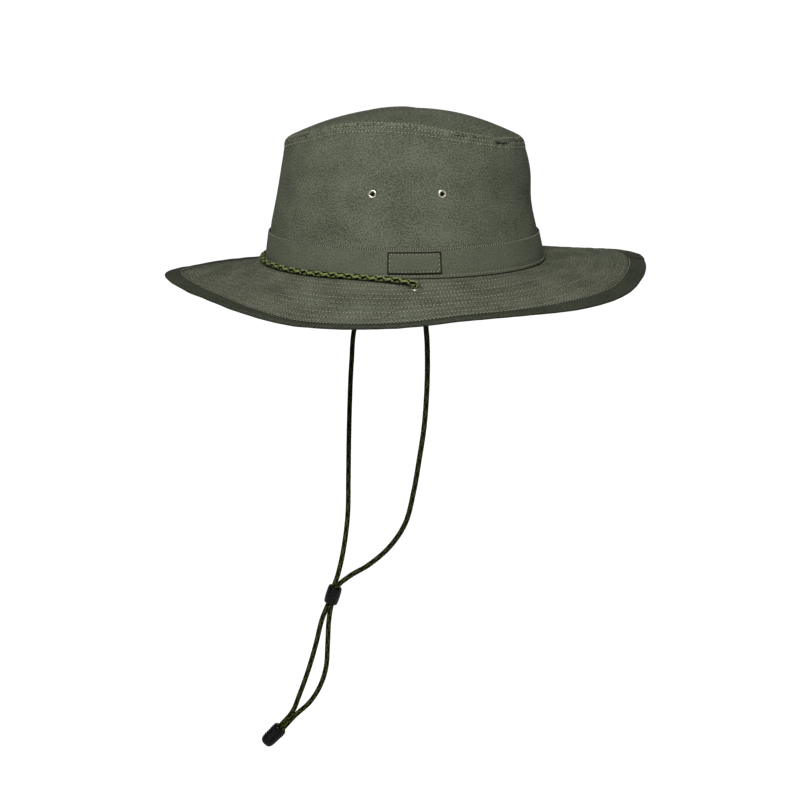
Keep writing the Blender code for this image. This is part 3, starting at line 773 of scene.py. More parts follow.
# %% Barrels
BARREL_SIDES = 72
BARREL_POWER = 2.6
SLIDER_ALONG = np.array((
    # along, size
    (0.00, 0.00), (0.001, 0.55), (0.002, 0.80), (0.012, 0.85), (0.03, 0.89), (0.06, 0.925),
    (0.16, 0.965), (0.30, 0.99), (0.50, 1.00), (0.70, 0.99), (0.84, 0.965), (0.94, 0.925),
    (0.97, 0.89), (0.988, 0.85), (0.998, 0.80), (0.999, 0.55), (1.00, 0.00),
))
END_ALONG = np.array((
    # along, width, depth
    (0.00, 0.88, 0.90),
    (0.05, 0.97, 0.96),
    (0.45, 1.00, 1.00),
    (0.70, 0.98, 0.97),
    (0.88, 0.86, 0.86),
    (1.00, 0.56, 0.58),
))


def barrel(name, places, start, axis, half_width, half_depth, size, ridge):
    """Barrel along an axis. size gives two shares of its half sizes, ridge metres to add."""
    side = np.array(across(axis))
    front = np.array((1.0, 0.0, 0.0))

    def place(angle, along_it):
        c = np.cos(angle)
        s = np.sin(angle)
        square = (np.abs(c) ** BARREL_POWER + np.abs(s) ** BARREL_POWER) ** (-1 / BARREL_POWER)
        wide, deep = size(along_it)
        added = ridge(angle, along_it)
        x = (half_width * wide + added) * square * c
        y = (half_depth * deep + added) * square * s
        flat = np.array(start) + np.array(axis) * along_it[..., None]
        return flat + side * x[..., None] + front * y[..., None]

    angles = np.linspace(0, TWO_PI, BARREL_SIDES + 1)
    return grid_form(name, angles, places, place,
                     lambda angle, step: (angle * 4 * MM, step), closed=True)


def slot_through(piece, middle, axis, length):
    """Cut the flat-sided hole that two strands share."""
    radius = CORD_DIAMETER / 2 + BRAID_PLAY
    side = np.array(spread(axis))
    front = np.cross(axis, side)

    def place(angle, end):
        shift = np.sign(np.cos(angle)) * STRAND_SPACING / 2
        filled = np.where(np.abs(end) > 1.5, 0.0, 1.0)
        x = (radius * np.cos(angle) + shift) * filled
        y = radius * np.sin(angle) * filled
        out = np.array(middle) + np.array(axis) * (np.clip(end, -1, 1) * length / 2)[..., None]
        return out + side * x[..., None] + front * y[..., None]

    cutter = grid_form("slot", np.linspace(0, TWO_PI, 41), np.array((-2.0, -1.0, 1.0, 2.0)), place,
                       lambda angle, end: (angle, end), closed=True)
    cut_out(piece, cutter)


# %% The slider
SLIDER_RIB = 0.35 * MM
slider_start = SLIDER_CENTRE - SLIDER_UP * SLIDER_LENGTH / 2


def slider_size(metre):
    share = along(SLIDER_ALONG, 1, metre / SLIDER_LENGTH)
    return share, share


def slider_ridge(angle, metre):
    """A raised flat on the front and back, with a shallow window in its upper half."""
    share = metre / SLIDER_LENGTH
    facing_out = smooth(np.abs(np.sin(angle)), 0.80, 0.88)
    window = smooth(np.abs(np.sin(angle)), 0.955, 0.975) * smooth(share, 0.46, 0.50)
    window = window * (1 - smooth(share, 0.90, 0.94))
    body = smooth(share, 0.002, 0.02) * (1 - smooth(share, 0.98, 0.998))
    return (facing_out * SLIDER_RIB - window * 0.8 * MM) * body


slider_rows = np.unique(np.concatenate([SLIDER_ALONG[:, 0], np.linspace(0.04, 0.96, 40)]))
slider_rows = slider_rows * SLIDER_LENGTH
slider = barrel("cord_lock", slider_rows, slider_start, SLIDER_UP, SLIDER_WIDTH / 2, SLIDER_DEPTH / 2,
                slider_size, slider_ridge)
slot_through(slider, SLIDER_CENTRE, SLIDER_UP, SLIDER_LENGTH * 2)
dress(slider, plastic, "black_plastic", "cord_slider")

# %% The cord's end piece
RIB_COUNT = 5
RIB_FIRST = 0.12
RIB_LAST = 0.66
RIB_EASE = 0.02
RIB_HEIGHT = 0.8 * MM
GROOVE_DEPTH = 0.8 * MM


def end_size(metre):
    share = metre / END_LENGTH
    closed = np.where((share < 1e-6) | (share > 1 - 1e-6), 0.0, 1.0)
    tail = np.sqrt(np.clip(1 - smooth(share, 0.93, 1.0) ** 2, 0.0, 1.0))
    taper = closed * (0.35 + 0.65 * tail)
    return along(END_ALONG, 1, share) * taper, along(END_ALONG, 2, share) * taper


def end_ridge(angle, metre):
    share = metre / END_LENGTH
    body = smooth(share, 0.002, 0.03) * (1 - smooth(share, 0.90, 0.97))
    ribbed = smooth(-np.cos(angle), 0.22, 0.34)
    wave = (share - RIB_FIRST) / (RIB_LAST - RIB_FIRST) * RIB_COUNT
    hollow = smooth(0.5 - 0.5 * np.cos(TWO_PI * wave), 0.25, 0.8)
    hollow = hollow * smooth(share, RIB_FIRST, RIB_FIRST + RIB_EASE)
    hollow = hollow * (1 - smooth(share, RIB_LAST - RIB_EASE, RIB_LAST))
    groove = bump(np.cos(angle), 0.0, 0.11) * smooth(share, 0.03, 0.08)
    groove = groove * (1 - smooth(share, 0.72, 0.78))
    return -(ribbed * hollow * RIB_HEIGHT + groove * GROOVE_DEPTH) * body


end_rows = np.concatenate([[0.0, 0.002], np.linspace(0.012, 0.985, 84), [0.993, 0.998, 1.0]])
end_rows = end_rows * END_LENGTH
cord_end = barrel("cord_clamp", end_rows, END_MOUTH, END_DOWN, END_WIDTH / 2, END_DEPTH / 2,
                  end_size, end_ridge)
slot_through(cord_end, END_MOUTH, END_DOWN, END_SOCKET_DEPTH * 2)
dress(cord_end, plastic, "black_plastic", "cord_end")

# %% [markdown]
# The crown's side wall is one long curved panel. Two stitch rows hold the seam allowance
# down below its top edge, so the cloth is thicker there and puckers between the stitches.
# These are offsets along the surface normal, added to the smooth form.

# %% Crown side
SEAM_ROWS = (1.1 * MM, 4.2 * MM)
ALLOWANCE = 5.6 * MM
DENT_TURN = 144.0
WALL_FOOT = -0.006


def crown_below(turn, height):
    """Metres from the seam down to a place on the side wall."""
    return (1 - height) * seam_height(turn)


def crown_offset(turn, height):
    smooth_form = crown_point(turn, height)
    below = crown_below(turn, height)
    stretched = smooth_form * np.array((1.0, 1.0, 0.35))
    slack = ripple(smooth_form, 46 * MM, 1) * 0.8 * MM * smooth(below, 0, 20 * MM)
    slack = slack * smooth(height, 0.20, 0.35)
    near_seam = np.exp(-below / (8 * MM))
    pucker = ripple(stretched, 4.6 * MM, 2) * 1.1 * MM + ripple(stretched, 14 * MM, 3) * 0.8 * MM
    pocket = smooth(ripple(stretched, 6.5 * MM, 4), 0.10, 0.28) * -1.7 * MM
    pucker = pucker + pocket * bump(below, 2.8 * MM, 1.9 * MM)
    ridge = (1 - smooth(below, ALLOWANCE - 0.8 * MM, ALLOWANCE)) * 0.45 * MM
    dips = sum(bump(below, row, 0.7 * MM) for row in SEAM_ROWS) * -0.25 * MM
    roll = bump(below, 0.0, 0.8 * MM) * -0.3 * MM
    dent = bump(turn, DENT_TURN, 6.0) * bump(below, 1 * MM, 4.5 * MM) * -1.1 * MM
    return slack + near_seam * pucker + ridge + dips + roll + dent


def crown_place(turn, height):
    offset = crown_offset(turn, height)[..., None]
    return crown_point(turn, height) + crown_normal(turn, height) * offset


def metres_round(turn):
    return np.radians(turn) * (CROWN_HALF_WIDTH + CROWN_HALF_LENGTH) / 2


crown_rows = np.concatenate([[WALL_FOOT], np.linspace(0, 0.86, 46), np.linspace(0.87, 1.0, 24)])
crown_turns = np.linspace(0, 360, 361)
crown_side = grid_form("crown_side_wall", crown_turns, crown_rows, crown_place,
                       lambda turn, height: (metres_round(turn), height * seam_height(turn)))
thicken(crown_side, CROWN_WALL)


def eyelet_placements():
    made = {}
    for place, turn in EYELET_TURNS.items():
        for side, sign in (("left", 1), ("right", -1)):
            at = np.array(float(sign * turn))
            share = EYELET_HEIGHT / seam_height(at)
            normal = crown_normal(at, share)
            middle = crown_place(at, share) - normal * CROWN_WALL / 2
            made[side + "_" + place] = facing(middle, normal)
    return made


pierce(crown_side, eyelet_placements().values(), 2.3 * MM, 10 * MM)
dress(crown_side, twill, "cloth", "crown_side")

# %% [markdown]
# The tip is an oval panel sewn to the side wall. Its edge rolls over to meet the seam, and
# the fullness of the cloth there makes short puckers. Further in it lies in soft waves.

# %% Crown tip
TIP_FOLD = 1.7 * MM
TIP_FOLD_OUT = 0.5 * MM
TIP_REACH = 78 * MM


def tip_offset(turn, reach):
    form = tip_point(turn, reach)
    inside = (1 - reach) * TIP_REACH
    slack = ripple(form, 38 * MM, 5) * 0.4 * MM * smooth(inside, 0, 14 * MM)
    near_seam = np.exp(-inside / (6 * MM))
    pucker = ripple(form, 6 * MM, 6) * 0.75 * MM
    dips = bump(inside, 2.2 * MM, 0.8 * MM) * -0.25 * MM
    roll = bump(inside, 0.0, 0.9 * MM) * -0.2 * MM
    dent = bump(turn, DENT_TURN, 6.0) * bump(inside, 0.0, 4 * MM) * -1.1 * MM
    return slack + near_seam * pucker + dips + roll + dent


def tip_place(turn, reach):
    step = 0.01
    near = np.clip(reach, step, 1 - step)
    sideways = tip_point(turn + 1.0, near) - tip_point(turn - 1.0, near)
    inward = tip_point(turn, near - step) - tip_point(turn, near + step)
    normal = unit(np.cross(sideways, inward))
    centre = np.array((0.0, 0.0, 1.0))
    share = smooth(reach, 0.02, 0.12)[..., None]
    normal = unit(normal * share + centre * (1 - share))
    folded = (1 - smooth(1 - reach, 0.0, 0.016))[..., None]
    fold_over = (np.array((0.0, 0.0, -TIP_FOLD)) + oval_normal(turn) * TIP_FOLD_OUT) * folded
    return tip_point(turn, reach) + normal * tip_offset(turn, reach)[..., None] + fold_over


tip_rows = np.concatenate([np.linspace(1.0, 0.9, 12), np.linspace(0.885, 0.0, 40)])


def tip_uv(turn, reach):
    seen_from_above = tip_point(turn, reach) * 0.55
    return seen_from_above[..., 1], seen_from_above[..., 0]


crown_tip = grid_form("crown_tip_panel", crown_turns, tip_rows, tip_place, tip_uv)
thicken(crown_tip, CROWN_WALL)
dress(crown_tip, twill, "cloth", "crown_tip")

# %% [markdown]
# The hat band is a folded strip, so both its edges are rounded. Its section is a closed
# loop, and the grid runs round the hat one way and round that loop the other way. The top
# edge is topstitched, which draws it in between the stitches.

# %% Hat band
BAND_ROW_TOP = 0.7 * MM
BAND_ROW_FOOT = 2.0 * MM


def strip_section(length, wall, steps):
    """Loop round a folded strip: places along it and heights off its base."""
    half = wall / 2
    outer = [(half + (length - 2 * half) * k / steps, wall) for k in range(steps + 1)]
    caps = [math.radians(angle) for angle in (60, 30, 0, -30, -60)]
    far = [(length - half + half * math.cos(angle), half + half * math.sin(angle)) for angle in caps]
    inner = [(place, 0.0) for place, height in reversed(outer)]
    near = [(half - half * math.cos(angle), half - half * math.sin(angle)) for angle in caps]
    loop = outer + far + inner + near
    return np.array(loop + loop[:1])


band_section = strip_section(BAND_HEIGHT - CLEARANCE, BAND_WALL, 26)


def band_place(turn, index):
    up, off = band_section[index.astype(int)].transpose(2, 0, 1)
    height = CLEARANCE + up
    form = band_point(turn, height, 0 * turn)
    outside = smooth(off, 0.3 * BAND_WALL, BAND_WALL)
    from_top = BAND_HEIGHT - height
    slack = (ripple(form, 30 * MM, 8) * 0.35 + 0.15) * MM * smooth(from_top, 3 * MM, 8 * MM)
    slack = slack * smooth(height, 2 * MM, 6 * MM)
    pucker = ripple(form * np.array((1, 1, 0.4)), 3.2 * MM, 9) * 0.30 * MM
    pucker = pucker * np.exp(-from_top / (3 * MM))
    dips = (bump(from_top, BAND_ROW_TOP, 0.6 * MM) + bump(height, BAND_ROW_FOOT, 0.6 * MM)) * -0.22 * MM
    lift = CLEARANCE + off + (slack + pucker + dips) * outside
    return band_point(turn, height, lift)


hat_band = grid_form("hat_band_strip", crown_turns, np.arange(len(band_section)), band_place,
                     lambda turn, index: (metres_round(turn), band_section[index.astype(int)][..., 0]),
                     closed=True)
dress(hat_band, band_twill, "cloth", "hat_band")

# %% [markdown]
# The patch is a small rectangle of the same cloth with turned-in edges, sewn on round its
# border and left plain. It starts as a cube primitive, which is scaled, subdivided and
# bevelled, and then wrapped on the band: its X runs along the band, its Y up and its Z out.

# %% Label patch
PATCH_ROW = 1.6 * MM
deselect()
bpy.ops.mesh.primitive_cube_add(size=1.0)
label = bpy.context.active_object
label.name = "blank_label"
label.data.name = "blank_label"
for corner in label.data.vertices:
    corner.co = corner.co * Vector((LABEL_LENGTH, LABEL_HEIGHT, LABEL_WALL))
edit(label, lambda: bpy.ops.mesh.bevel(offset=0.35 * MM, segments=3),
     lambda: bpy.ops.mesh.subdivide(number_cuts=5),
     lambda: bpy.ops.mesh.subdivide(number_cuts=5))
flat = np.empty(len(label.data.vertices) * 3, dtype=np.float32)
label.data.vertices.foreach_get("co", flat)
flat = flat.reshape(-1, 3).astype(float)
one_degree = band_point(np.array((LABEL_TURN - 0.5, LABEL_TURN + 0.5)), np.array(LABEL_FOOT), np.zeros(2))
band_arc = float(np.linalg.norm(one_degree[1] - one_degree[0]))
inside_edge = np.minimum(LABEL_LENGTH / 2 - np.abs(flat[:, 0]), LABEL_HEIGHT / 2 - np.abs(flat[:, 1]))
front_face = smooth(flat[:, 2], 0.0, LABEL_WALL / 2)
swell = bump(inside_edge, PATCH_ROW, 0.45 * MM) * -0.25 * MM
swell = swell + smooth(inside_edge, 2.0 * MM, 3.4 * MM) * 0.12 * MM
swell = swell + ripple(flat, 5 * MM, 11) * 0.10 * MM
lift = CLEARANCE + BAND_WALL + CLEARANCE + LABEL_WALL / 2 + flat[:, 2] + swell * front_face
wrapped = band_point(LABEL_TURN + flat[:, 0] / band_arc,
                     LABEL_FOOT + LABEL_HEIGHT / 2 + flat[:, 1], lift)
clear_uv(label.data)
write_uv(label.data, "weave", flat[:, :2])
label.data.vertices.foreach_set("co", wrapped.astype(np.float32).ravel())
label.data.update()
dress(label, label_twill, "cloth", "label_patch")

# %% [markdown]
# The brim is several layers of cloth quilted by ten rows of stitches that run round it.
# Each row pulls the layers together, so the cloth dips along it on both faces. A second
# UV map numbers the rows, and with it the material paints shade along the needle line.

# %% Brim
ROW_COUNT = 10
ROW_FIRST = 2.1 * MM
ROW_LAST = 2.8 * MM
TUCKED_WALL = 1.0 * MM
BRIM_TUCK = 0.8 * MM
BRIM_ROUNDER = 1.35
BRIM_SEED = 12
BRIM_COLUMNS = 432


def row_span(turn):
    return brim_bound(turn) - ROW_LAST - ROW_FIRST


def row_distance(turn, number):
    return ROW_FIRST + row_span(turn) * number / (ROW_COUNT - 1)


def row_number(turn, distance):
    return (distance - ROW_FIRST) / row_span(turn) * (ROW_COUNT - 1)


def brim_distance(turn, share):
    """Metres out, for a loop that runs in along the top to share 1 and out along the foot."""
    edge = brim_width(turn) - BRIM_TUCK
    return -CROWN_WALL + (edge + CROWN_WALL) * np.abs(1.0 - share)


def brim_relief(turn, distance, number, seed):
    beside = np.abs(number - np.round(number))
    within = (number > -0.5) & (number < ROW_COUNT - 0.5)
    quilt = (0.14 - 0.42 * np.exp(-(beside / 0.13) ** 2)) * MM * within
    form = brim_point(turn, distance)
    under_binding = smooth(distance, brim_bound(turn) - 2 * MM, brim_bound(turn))
    waves = ripple(form, 7 * MM, seed) * 0.24 * MM + ripple(form, 50 * MM, 14) * 0.45 * MM
    return (quilt + waves * smooth(distance, 0, 6 * MM)) * (1 - under_binding)


def brim_place(turn, share):
    face = np.where(share <= 1.0, 1.0, -1.0)
    distance = brim_distance(turn, share)
    relief = brim_relief(turn, distance, row_number(turn, distance), BRIM_SEED)
    bound = brim_bound(turn)
    tucked = smooth(distance, bound - 0.8 * MM, bound + 0.4 * MM)
    half = BRIM_WALL / 2 - (BRIM_WALL - TUCKED_WALL) / 2 * tucked
    return brim_at(turn, distance, face * (half + relief))


brim_turns = np.linspace(0, 360, BRIM_COLUMNS + 1)
brim_share = np.linspace(0, 1, 78)
brim_rows = np.concatenate([brim_share, 1.0 + 1e-9 + brim_share])


def brim_uv(turn, share):
    return metres_round(turn) * BRIM_ROUNDER, brim_distance(turn, share)


def brim_row_uv(turn, share):
    return turn / 360, row_number(turn, brim_distance(turn, share))


brim = grid_form("quilted_brim", brim_turns, brim_rows, brim_place, brim_uv,
                 charts=[("rows", brim_row_uv)])
edit(brim, lambda: bpy.ops.mesh.select_all(action="DESELECT"), bpy.ops.mesh.select_non_manifold,
     lambda: bpy.ops.mesh.bridge_edge_loops())
edit(brim, outwards)
pierce(brim, [grommet_placement(sign) for sign in (1, -1)], 3.4 * MM, 14 * MM)
dress(brim, brim_twill, "cloth", "brim")

# %% [markdown]
# The binding is a bias strip folded over the rim and stitched through near its inner edge.
# Its middle line runs out along the top of the brim, round the rim in a half circle and
# back below. The strip's section follows that line, as a hem follows its fold.

# %% Binding
BINDING_ROW = 1.0 * MM
RIM_ROUNDER = 1.7
FOLD_CLOTH = 0.6 * MM
FOLD_RADIUS = TUCKED_WALL / 2 + 0.1 * MM + FOLD_CLOTH / 2
FOLD_FLAT = BINDING_WIDTH - FOLD_RADIUS - FOLD_CLOTH / 2
FOLD_LENGTH = 2 * FOLD_FLAT + math.pi * FOLD_RADIUS
JOIN_TURN = 180.6
JOIN_SLANT = 2.2
binding_section = strip_section(FOLD_LENGTH, FOLD_CLOTH, 56)


def fold(place):
    """Middle line of the folded strip: metres past its inner edge, height, and slope."""
    angle = np.clip((place - FOLD_FLAT) / FOLD_RADIUS, 0.0, math.pi)
    out = np.minimum(place, FOLD_FLAT) + FOLD_RADIUS * np.sin(angle)
    back = np.maximum(place - FOLD_FLAT - math.pi * FOLD_RADIUS, 0.0)
    return out - back, FOLD_RADIUS * np.cos(angle), angle


def binding_place(turn, index):
    place, off = binding_section[index.astype(int)].transpose(2, 0, 1)
    out, height, angle = fold(place)
    bound = brim_bound(turn)
    outside = smooth(off, 0.3 * FOLD_CLOTH, FOLD_CLOTH)
    from_edge = np.minimum(place, FOLD_LENGTH - place)
    form = brim_point(turn, bound + out)
    slack = (ripple(form, 11 * MM, 16) * 0.28 + 0.12) * MM * smooth(from_edge, 1.5 * MM, 5 * MM)
    pucker = ripple(form, 3.6 * MM, 17) * 0.22 * MM * np.exp(-from_edge / (3 * MM))
    dips = bump(from_edge, BINDING_ROW, 0.55 * MM) * -0.28 * MM
    roll = (bump(out, BINDING_WIDTH - 3.6 * MM, 0.7 * MM) * -0.3 * MM
            + smooth(out, BINDING_WIDTH - 2.6 * MM, BINDING_WIDTH - 1.4 * MM) * 0.12 * MM)
    join = JOIN_TURN + JOIN_SLANT * (out / BINDING_WIDTH - 0.5)
    lap = smooth(turn, join - 0.15, join + 0.15) * (1 - smooth(turn, join + 5.0, join + 9.0)) * 0.5 * MM
    seam = bump(turn, join - 0.25, 0.35) * -0.4 * MM
    rise = off - FOLD_CLOTH / 2 + (slack + pucker + dips + roll + lap + seam) * outside
    distance = bound + out + rise * np.sin(angle)
    return brim_at(turn, distance, height + rise * np.cos(angle))


near_join = np.linspace(JOIN_TURN - 3.0, JOIN_TURN + 3.0, 41)
far_turns = np.linspace(0, 360, BRIM_COLUMNS + 1)
far_turns = far_turns[np.abs(far_turns - JOIN_TURN) > 3.2]
binding_turns = np.sort(np.concatenate([far_turns, near_join]))


def binding_uv(turn, index):
    return metres_round(turn) * RIM_ROUNDER, binding_section[index.astype(int)][..., 0]


binding = grid_form("rim_binding", binding_turns, np.arange(len(binding_section)), binding_place,
                    binding_uv, closed=True)
dress(binding, binding_twill, "binding_cloth", "brim_binding")

# %% [markdown]
# Stitches are short bars of thread that lie half sunk in the cloth. There are thousands,
# so one low bar is modelled from a sphere primitive and its points are copied to every
# place, turned along the row. The bars of one seam are one piece, and small near-black
# bars between them, painted shade for the needle holes, are another.

# %% Stitches
STITCH_PITCH = 2.5 * MM
HOLE_SHAPE = (0.75 * MM, 0.5 * MM, 0.2 * MM)


def stitch_shape():
    deselect()
    bpy.ops.mesh.primitive_uv_sphere_add(segments=6, ring_count=3, radius=1.0,
                                         rotation=(0, math.radians(90), 0))
    ball = bpy.context.active_object
    corners = np.array([tuple(ball.matrix_world @ vertex.co) for vertex in ball.data.vertices])
    faces = [list(face.vertices) for face in ball.data.polygons]
    bpy.data.objects.remove(ball, do_unlink=True)
    return corners, faces


STITCH_CORNERS, STITCH_FACES = stitch_shape()


def row_of_stitches(points, normals, pitch=STITCH_PITCH):
    """Places of the stitches along a dense line, and of the needle holes between them.

    Both are given as middles, directions and normals.
    """
    lengths = np.linalg.norm(np.diff(points, axis=0), axis=1)
    travelled = np.concatenate([[0.0], np.cumsum(lengths)])
    count = max(1, int(travelled[-1] / pitch))
    at = (np.arange(count) + 0.5) * travelled[-1] / count

    def read(values, where):
        return np.stack([np.interp(where, travelled, values[:, axis]) for axis in range(3)], axis=-1)

    def read_all(where):
        ways = unit(read(points, where + pitch / 4) - read(points, where - pitch / 4))
        return read(points, where), ways, unit(read(normals, where))

    return read_all(at), read_all(at + travelled[-1] / count / 2)


def copies(name, rows, size, slant, look):
    """One piece that holds many copies of the bar, all of one size."""
    middles, ways, normals = (np.concatenate([row[k] for row in rows]) for k in range(3))
    sides = unit(np.cross(normals, ways))
    angle = math.radians(slant)
    ways, sides = (ways * math.cos(angle) + sides * math.sin(angle),
                   sides * math.cos(angle) - ways * math.sin(angle))
    shape = STITCH_CORNERS * np.array(size) / 2
    points = (middles[:, None] + ways[:, None] * shape[None, :, 0:1]
              + sides[:, None] * shape[None, :, 1:2] + normals[:, None] * shape[None, :, 2:3])
    count = len(STITCH_CORNERS)
    faces = [[corner + k * count for corner in face]
             for k in range(len(middles)) for face in STITCH_FACES]
    mesh = bpy.data.meshes.new(name)
    mesh.from_pydata(points.reshape(-1, 3).tolist(), [], faces)
    piece = bpy.data.objects.new(name, mesh)
    bpy.context.scene.collection.objects.link(piece)
    edit(piece, outwards)
    return dress(piece, look, "cloth")


def sew(name, rows, length, thickness, slant=0.0):
    """The stitches of many rows, and near-black bars between them: painted shade for the needle holes."""
    copies(name, [row[0] for row in rows], (length, thickness, thickness), slant, thread_look)
    copies(name + "_holes", [row[1] for row in rows], HOLE_SHAPE, slant, hole_shade_look)


dense = np.linspace(0, 360, 1441)


def brim_stitch_row(distance, face, offset):
    normals = brim_normal(dense, distance) * face
    points = brim_point(dense, distance) + normals * offset
    return row_of_stitches(points, normals)


def stitches_on_brim(face):
    rows = []
    for number in range(ROW_COUNT):
        distance = row_distance(dense, number)
        relief = brim_relief(dense, distance, np.full_like(dense, number), BRIM_SEED)
        sunk = 0.11 * MM * np.cos(np.radians(dense)) ** 2
        offset = BRIM_WALL / 2 + relief + 0.05 * MM - sunk
        rows.append(brim_stitch_row(distance, face, offset[:, None]))
    return rows


sew("brim_stitches_top", stitches_on_brim(1), 1.6 * MM, 0.45 * MM)
sew("brim_stitches_under", stitches_on_brim(-1), 1.6 * MM, 0.45 * MM)

# %% Stitches of the binding, the band, the crown and the patch
binding_line = brim_bound(dense) + BINDING_ROW
binding_height = FOLD_RADIUS + FOLD_CLOTH / 2 - 0.1 * MM
sew("binding_stitches", [brim_stitch_row(binding_line, face, binding_height) for face in (1, -1)],
    1.5 * MM, 0.42 * MM)
# Near-black bars across the binding at its join: painted shadow of the lapped end.
join_out = np.linspace(0.5 * MM, BINDING_WIDTH - 0.6 * MM, 60)
join_turns = JOIN_TURN + JOIN_SLANT * (join_out / BINDING_WIDTH - 0.5) - 0.1
join_distance = brim_bound(join_turns) + join_out
join_normals = brim_normal(join_turns, join_distance)
join_line = brim_point(join_turns, join_distance) + join_normals * (binding_height + 0.25 * MM)
copies("binding_join_shadow", [row_of_stitches(join_line, join_normals, 0.8 * MM)[0]],
       (1.2 * MM, 0.7 * MM, 0.5 * MM), 0.0, hole_shade_look)


def band_stitch_row(height, lift, pitch):
    share = height / seam_height(dense)
    return row_of_stitches(band_point(dense, height + 0 * dense, lift + 0 * dense),
                           crown_normal(dense, share), pitch)


EDGE_BAR = (1.2 * MM, 0.4 * MM, 0.36 * MM)
EDGE_SHADOW = (1.7 * MM, 0.8 * MM, 0.4 * MM)
band_lift = CLEARANCE + BAND_WALL - 0.12 * MM
edge_row = [band_stitch_row(BAND_HEIGHT - BAND_ROW_TOP, band_lift + 0.05 * MM, 1.7 * MM)]
copies("band_edge_stitches", [row[0] for row in edge_row], EDGE_BAR, 55.0, thread_look)
copies("band_edge_shadows", [row[1] for row in edge_row], EDGE_SHADOW, 40.0, hole_shade_look)
sew("band_stitches", [band_stitch_row(CLEARANCE + BAND_ROW_FOOT, band_lift, 2.4 * MM)],
    1.5 * MM, 0.42 * MM, 8.0)


def crown_stitch_row(below):
    share = 1 - below / seam_height(dense)
    normals = crown_normal(dense, share)
    lift = crown_offset(dense, share) + 0.08 * MM
    return row_of_stitches(crown_point(dense, share) + normals * lift[:, None], normals, 2.4 * MM)


def tip_stitch_row(inside):
    reach = 1 - inside / TIP_REACH + 0 * dense
    low = tip_place(dense, reach - 0.01)
    high = tip_place(dense, reach + 0.01)
    sideways = tip_place(dense + 0.5, reach) - tip_place(dense - 0.5, reach)
    normals = unit(np.cross(sideways, low - high))
    return row_of_stitches(tip_place(dense, reach) + normals * 0.08 * MM, normals, 2.4 * MM)


sew("crown_seam_stitches", [crown_stitch_row(row) for row in SEAM_ROWS] + [tip_stitch_row(2.2 * MM)],
    1.5 * MM, 0.46 * MM)


def patch_line():
    """Rectangle of stitches just inside the patch's edge."""
    x = LABEL_LENGTH / 2 - PATCH_ROW
    y = LABEL_HEIGHT / 2 - PATCH_ROW
    sides = [((-x, -y), (x, -y)), ((x, -y), (x, y)), ((x, y), (-x, y)), ((-x, y), (-x, -y))]
    rows = []
    for start, finish in sides:
        share = np.linspace(0, 1, 60)[:, None]
        flat_line = np.array(start) * (1 - share) + np.array(finish) * share
        turn = LABEL_TURN + flat_line[:, 0] / band_arc
        height = LABEL_FOOT + LABEL_HEIGHT / 2 + flat_line[:, 1]
        lift = CLEARANCE * 2 + BAND_WALL + LABEL_WALL - 0.10 * MM + 0 * turn
        rows.append(row_of_stitches(band_point(turn, height, lift),
                                    crown_normal(turn, height / seam_height(turn)), 2.5 * MM))
    return rows


sew("label_stitches", patch_line(), 1.4 * MM, 0.38 * MM)

# %% [markdown]
# An eyelet is a short tube whose ends are rolled out flat over the cloth. Its section is
# a closed loop of radius and height, and turning that loop gives the whole ring.

# %% Eyelets and grommets
def ring(name, placement, hole, tube, flange, wall, gap):
    crest = gap / 2 + wall
    section = np.array((
        # radius, height
        (hole, 0.0), (hole, crest * 0.6), (hole + 0.10 * (flange - hole), crest * 0.86),
        (hole + 0.32 * (flange - hole), crest), (hole + 0.62 * (flange - hole), crest * 0.97),
        (hole + 0.88 * (flange - hole), gap / 2 + wall * 0.62), (flange, gap / 2 + wall * 0.2),
        (flange - 0.1 * MM, gap / 2 + 0.02 * MM), (hole + tube, gap / 2), (hole + tube, 0.0),
    ))
    under = section[::-1][1:-1] * np.array((1.0, -1.0))
    loop = np.concatenate([section, under, section[:1]])

    def place(angle, index):
        radius, height = loop[index.astype(int)].transpose(2, 0, 1)
        flat_ring = np.stack([radius * np.cos(angle), radius * np.sin(angle), height], axis=-1)
        turned = np.array(placement.to_3x3())
        return flat_ring @ turned.T + np.array(placement.translation)

    return grid_form(name, np.linspace(0, TWO_PI, 49), np.arange(len(loop)), place,
                     lambda angle, index: (angle * flange, index * 0.3 * MM), closed=True)


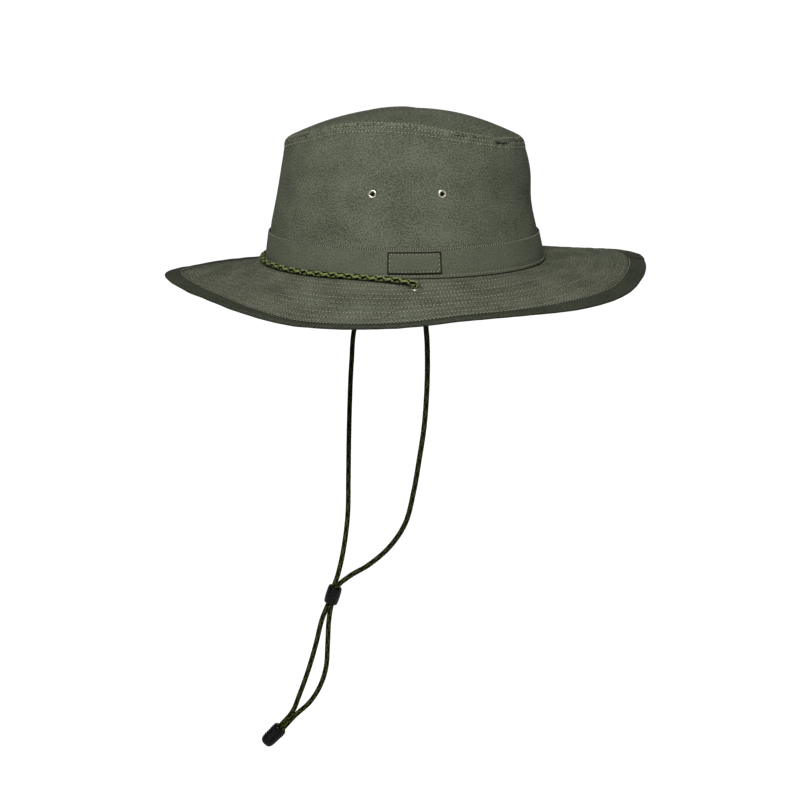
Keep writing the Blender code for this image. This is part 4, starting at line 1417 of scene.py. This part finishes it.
for where, placement in eyelet_placements().items():
    eyelet = ring("eyelet_" + where, placement, 1.65 * MM, 0.45 * MM, 3.1 * MM, 0.5 * MM,
                  CROWN_WALL + 2 * CLEARANCE)
    dress(eyelet, brass, "eyelet_metal", "vent_eyelet_" + where)
for side, sign in (("left", 1), ("right", -1)):
    grommet = ring("grommet_" + side, grommet_placement(sign), 2.5 * MM, 0.5 * MM, 4.7 * MM, 0.6 * MM,
                   BRIM_WALL + 2 * CLEARANCE)
    dress(grommet, brass, "eyelet_metal", "cord_grommet_" + side)

# %% [markdown]
# The studio is a white floor that reaches far behind the hat and glows a little, so it
# burns out as the photograph's ground does. One strong soft light stands high beside the
# camera, and a dim even sky leaves the shaded end of the hat dark. The floor's glow is
# kept off the cloth, or it would light the hat from below.

# %% Floor and light
FLOOR_HEIGHT = -0.42
LIGHT_FAR = 2.0
LIGHT_TURN = -8.0
LIGHT_RISE = 36.0
LIGHT_SIZE = 0.7
LIGHT_POWER = 51.0
SKY_STRENGTH = 0.33
FLOOR_GLOW = 0.93

deselect()
bpy.ops.mesh.primitive_plane_add(size=400.0, location=(0, 0, FLOOR_HEIGHT))
floor = bpy.context.active_object
floor.name = "studio_floor"
paper = Look("studio_paper", 0.9)
paper.paint(base_color=(0.32, 0.32, 0.32), emission_color=(1.0, 1.0, 1.0), emission_strength=FLOOR_GLOW)
floor.data.materials.append(paper.material)
floor.visible_diffuse = False

target = Vector((0.0, 0.0, 0.03))
level = math.cos(math.radians(LIGHT_RISE))
light_turn = math.radians(LIGHT_TURN)
towards_light = Vector((level * math.cos(light_turn), level * math.sin(light_turn),
                        math.sin(math.radians(LIGHT_RISE))))
bpy.ops.object.light_add(type="AREA", location=target + towards_light * LIGHT_FAR)
lamp = bpy.context.active_object
lamp.name = "key"
lamp.data.shape = "DISK"
lamp.data.size = LIGHT_SIZE
lamp.data.energy = LIGHT_POWER
lamp.rotation_euler = (-towards_light).to_track_quat("-Z", "Y").to_euler()

world = bpy.data.worlds.new("studio_sky")
world.use_nodes = True
sky = world.node_tree.nodes["Background"]
sky.inputs["Color"].default_value = (1.0, 1.0, 1.0, 1.0)
sky.inputs["Strength"].default_value = SKY_STRENGTH
bpy.context.scene.world = world
bpy.context.scene.view_settings.view_transform = "Standard"
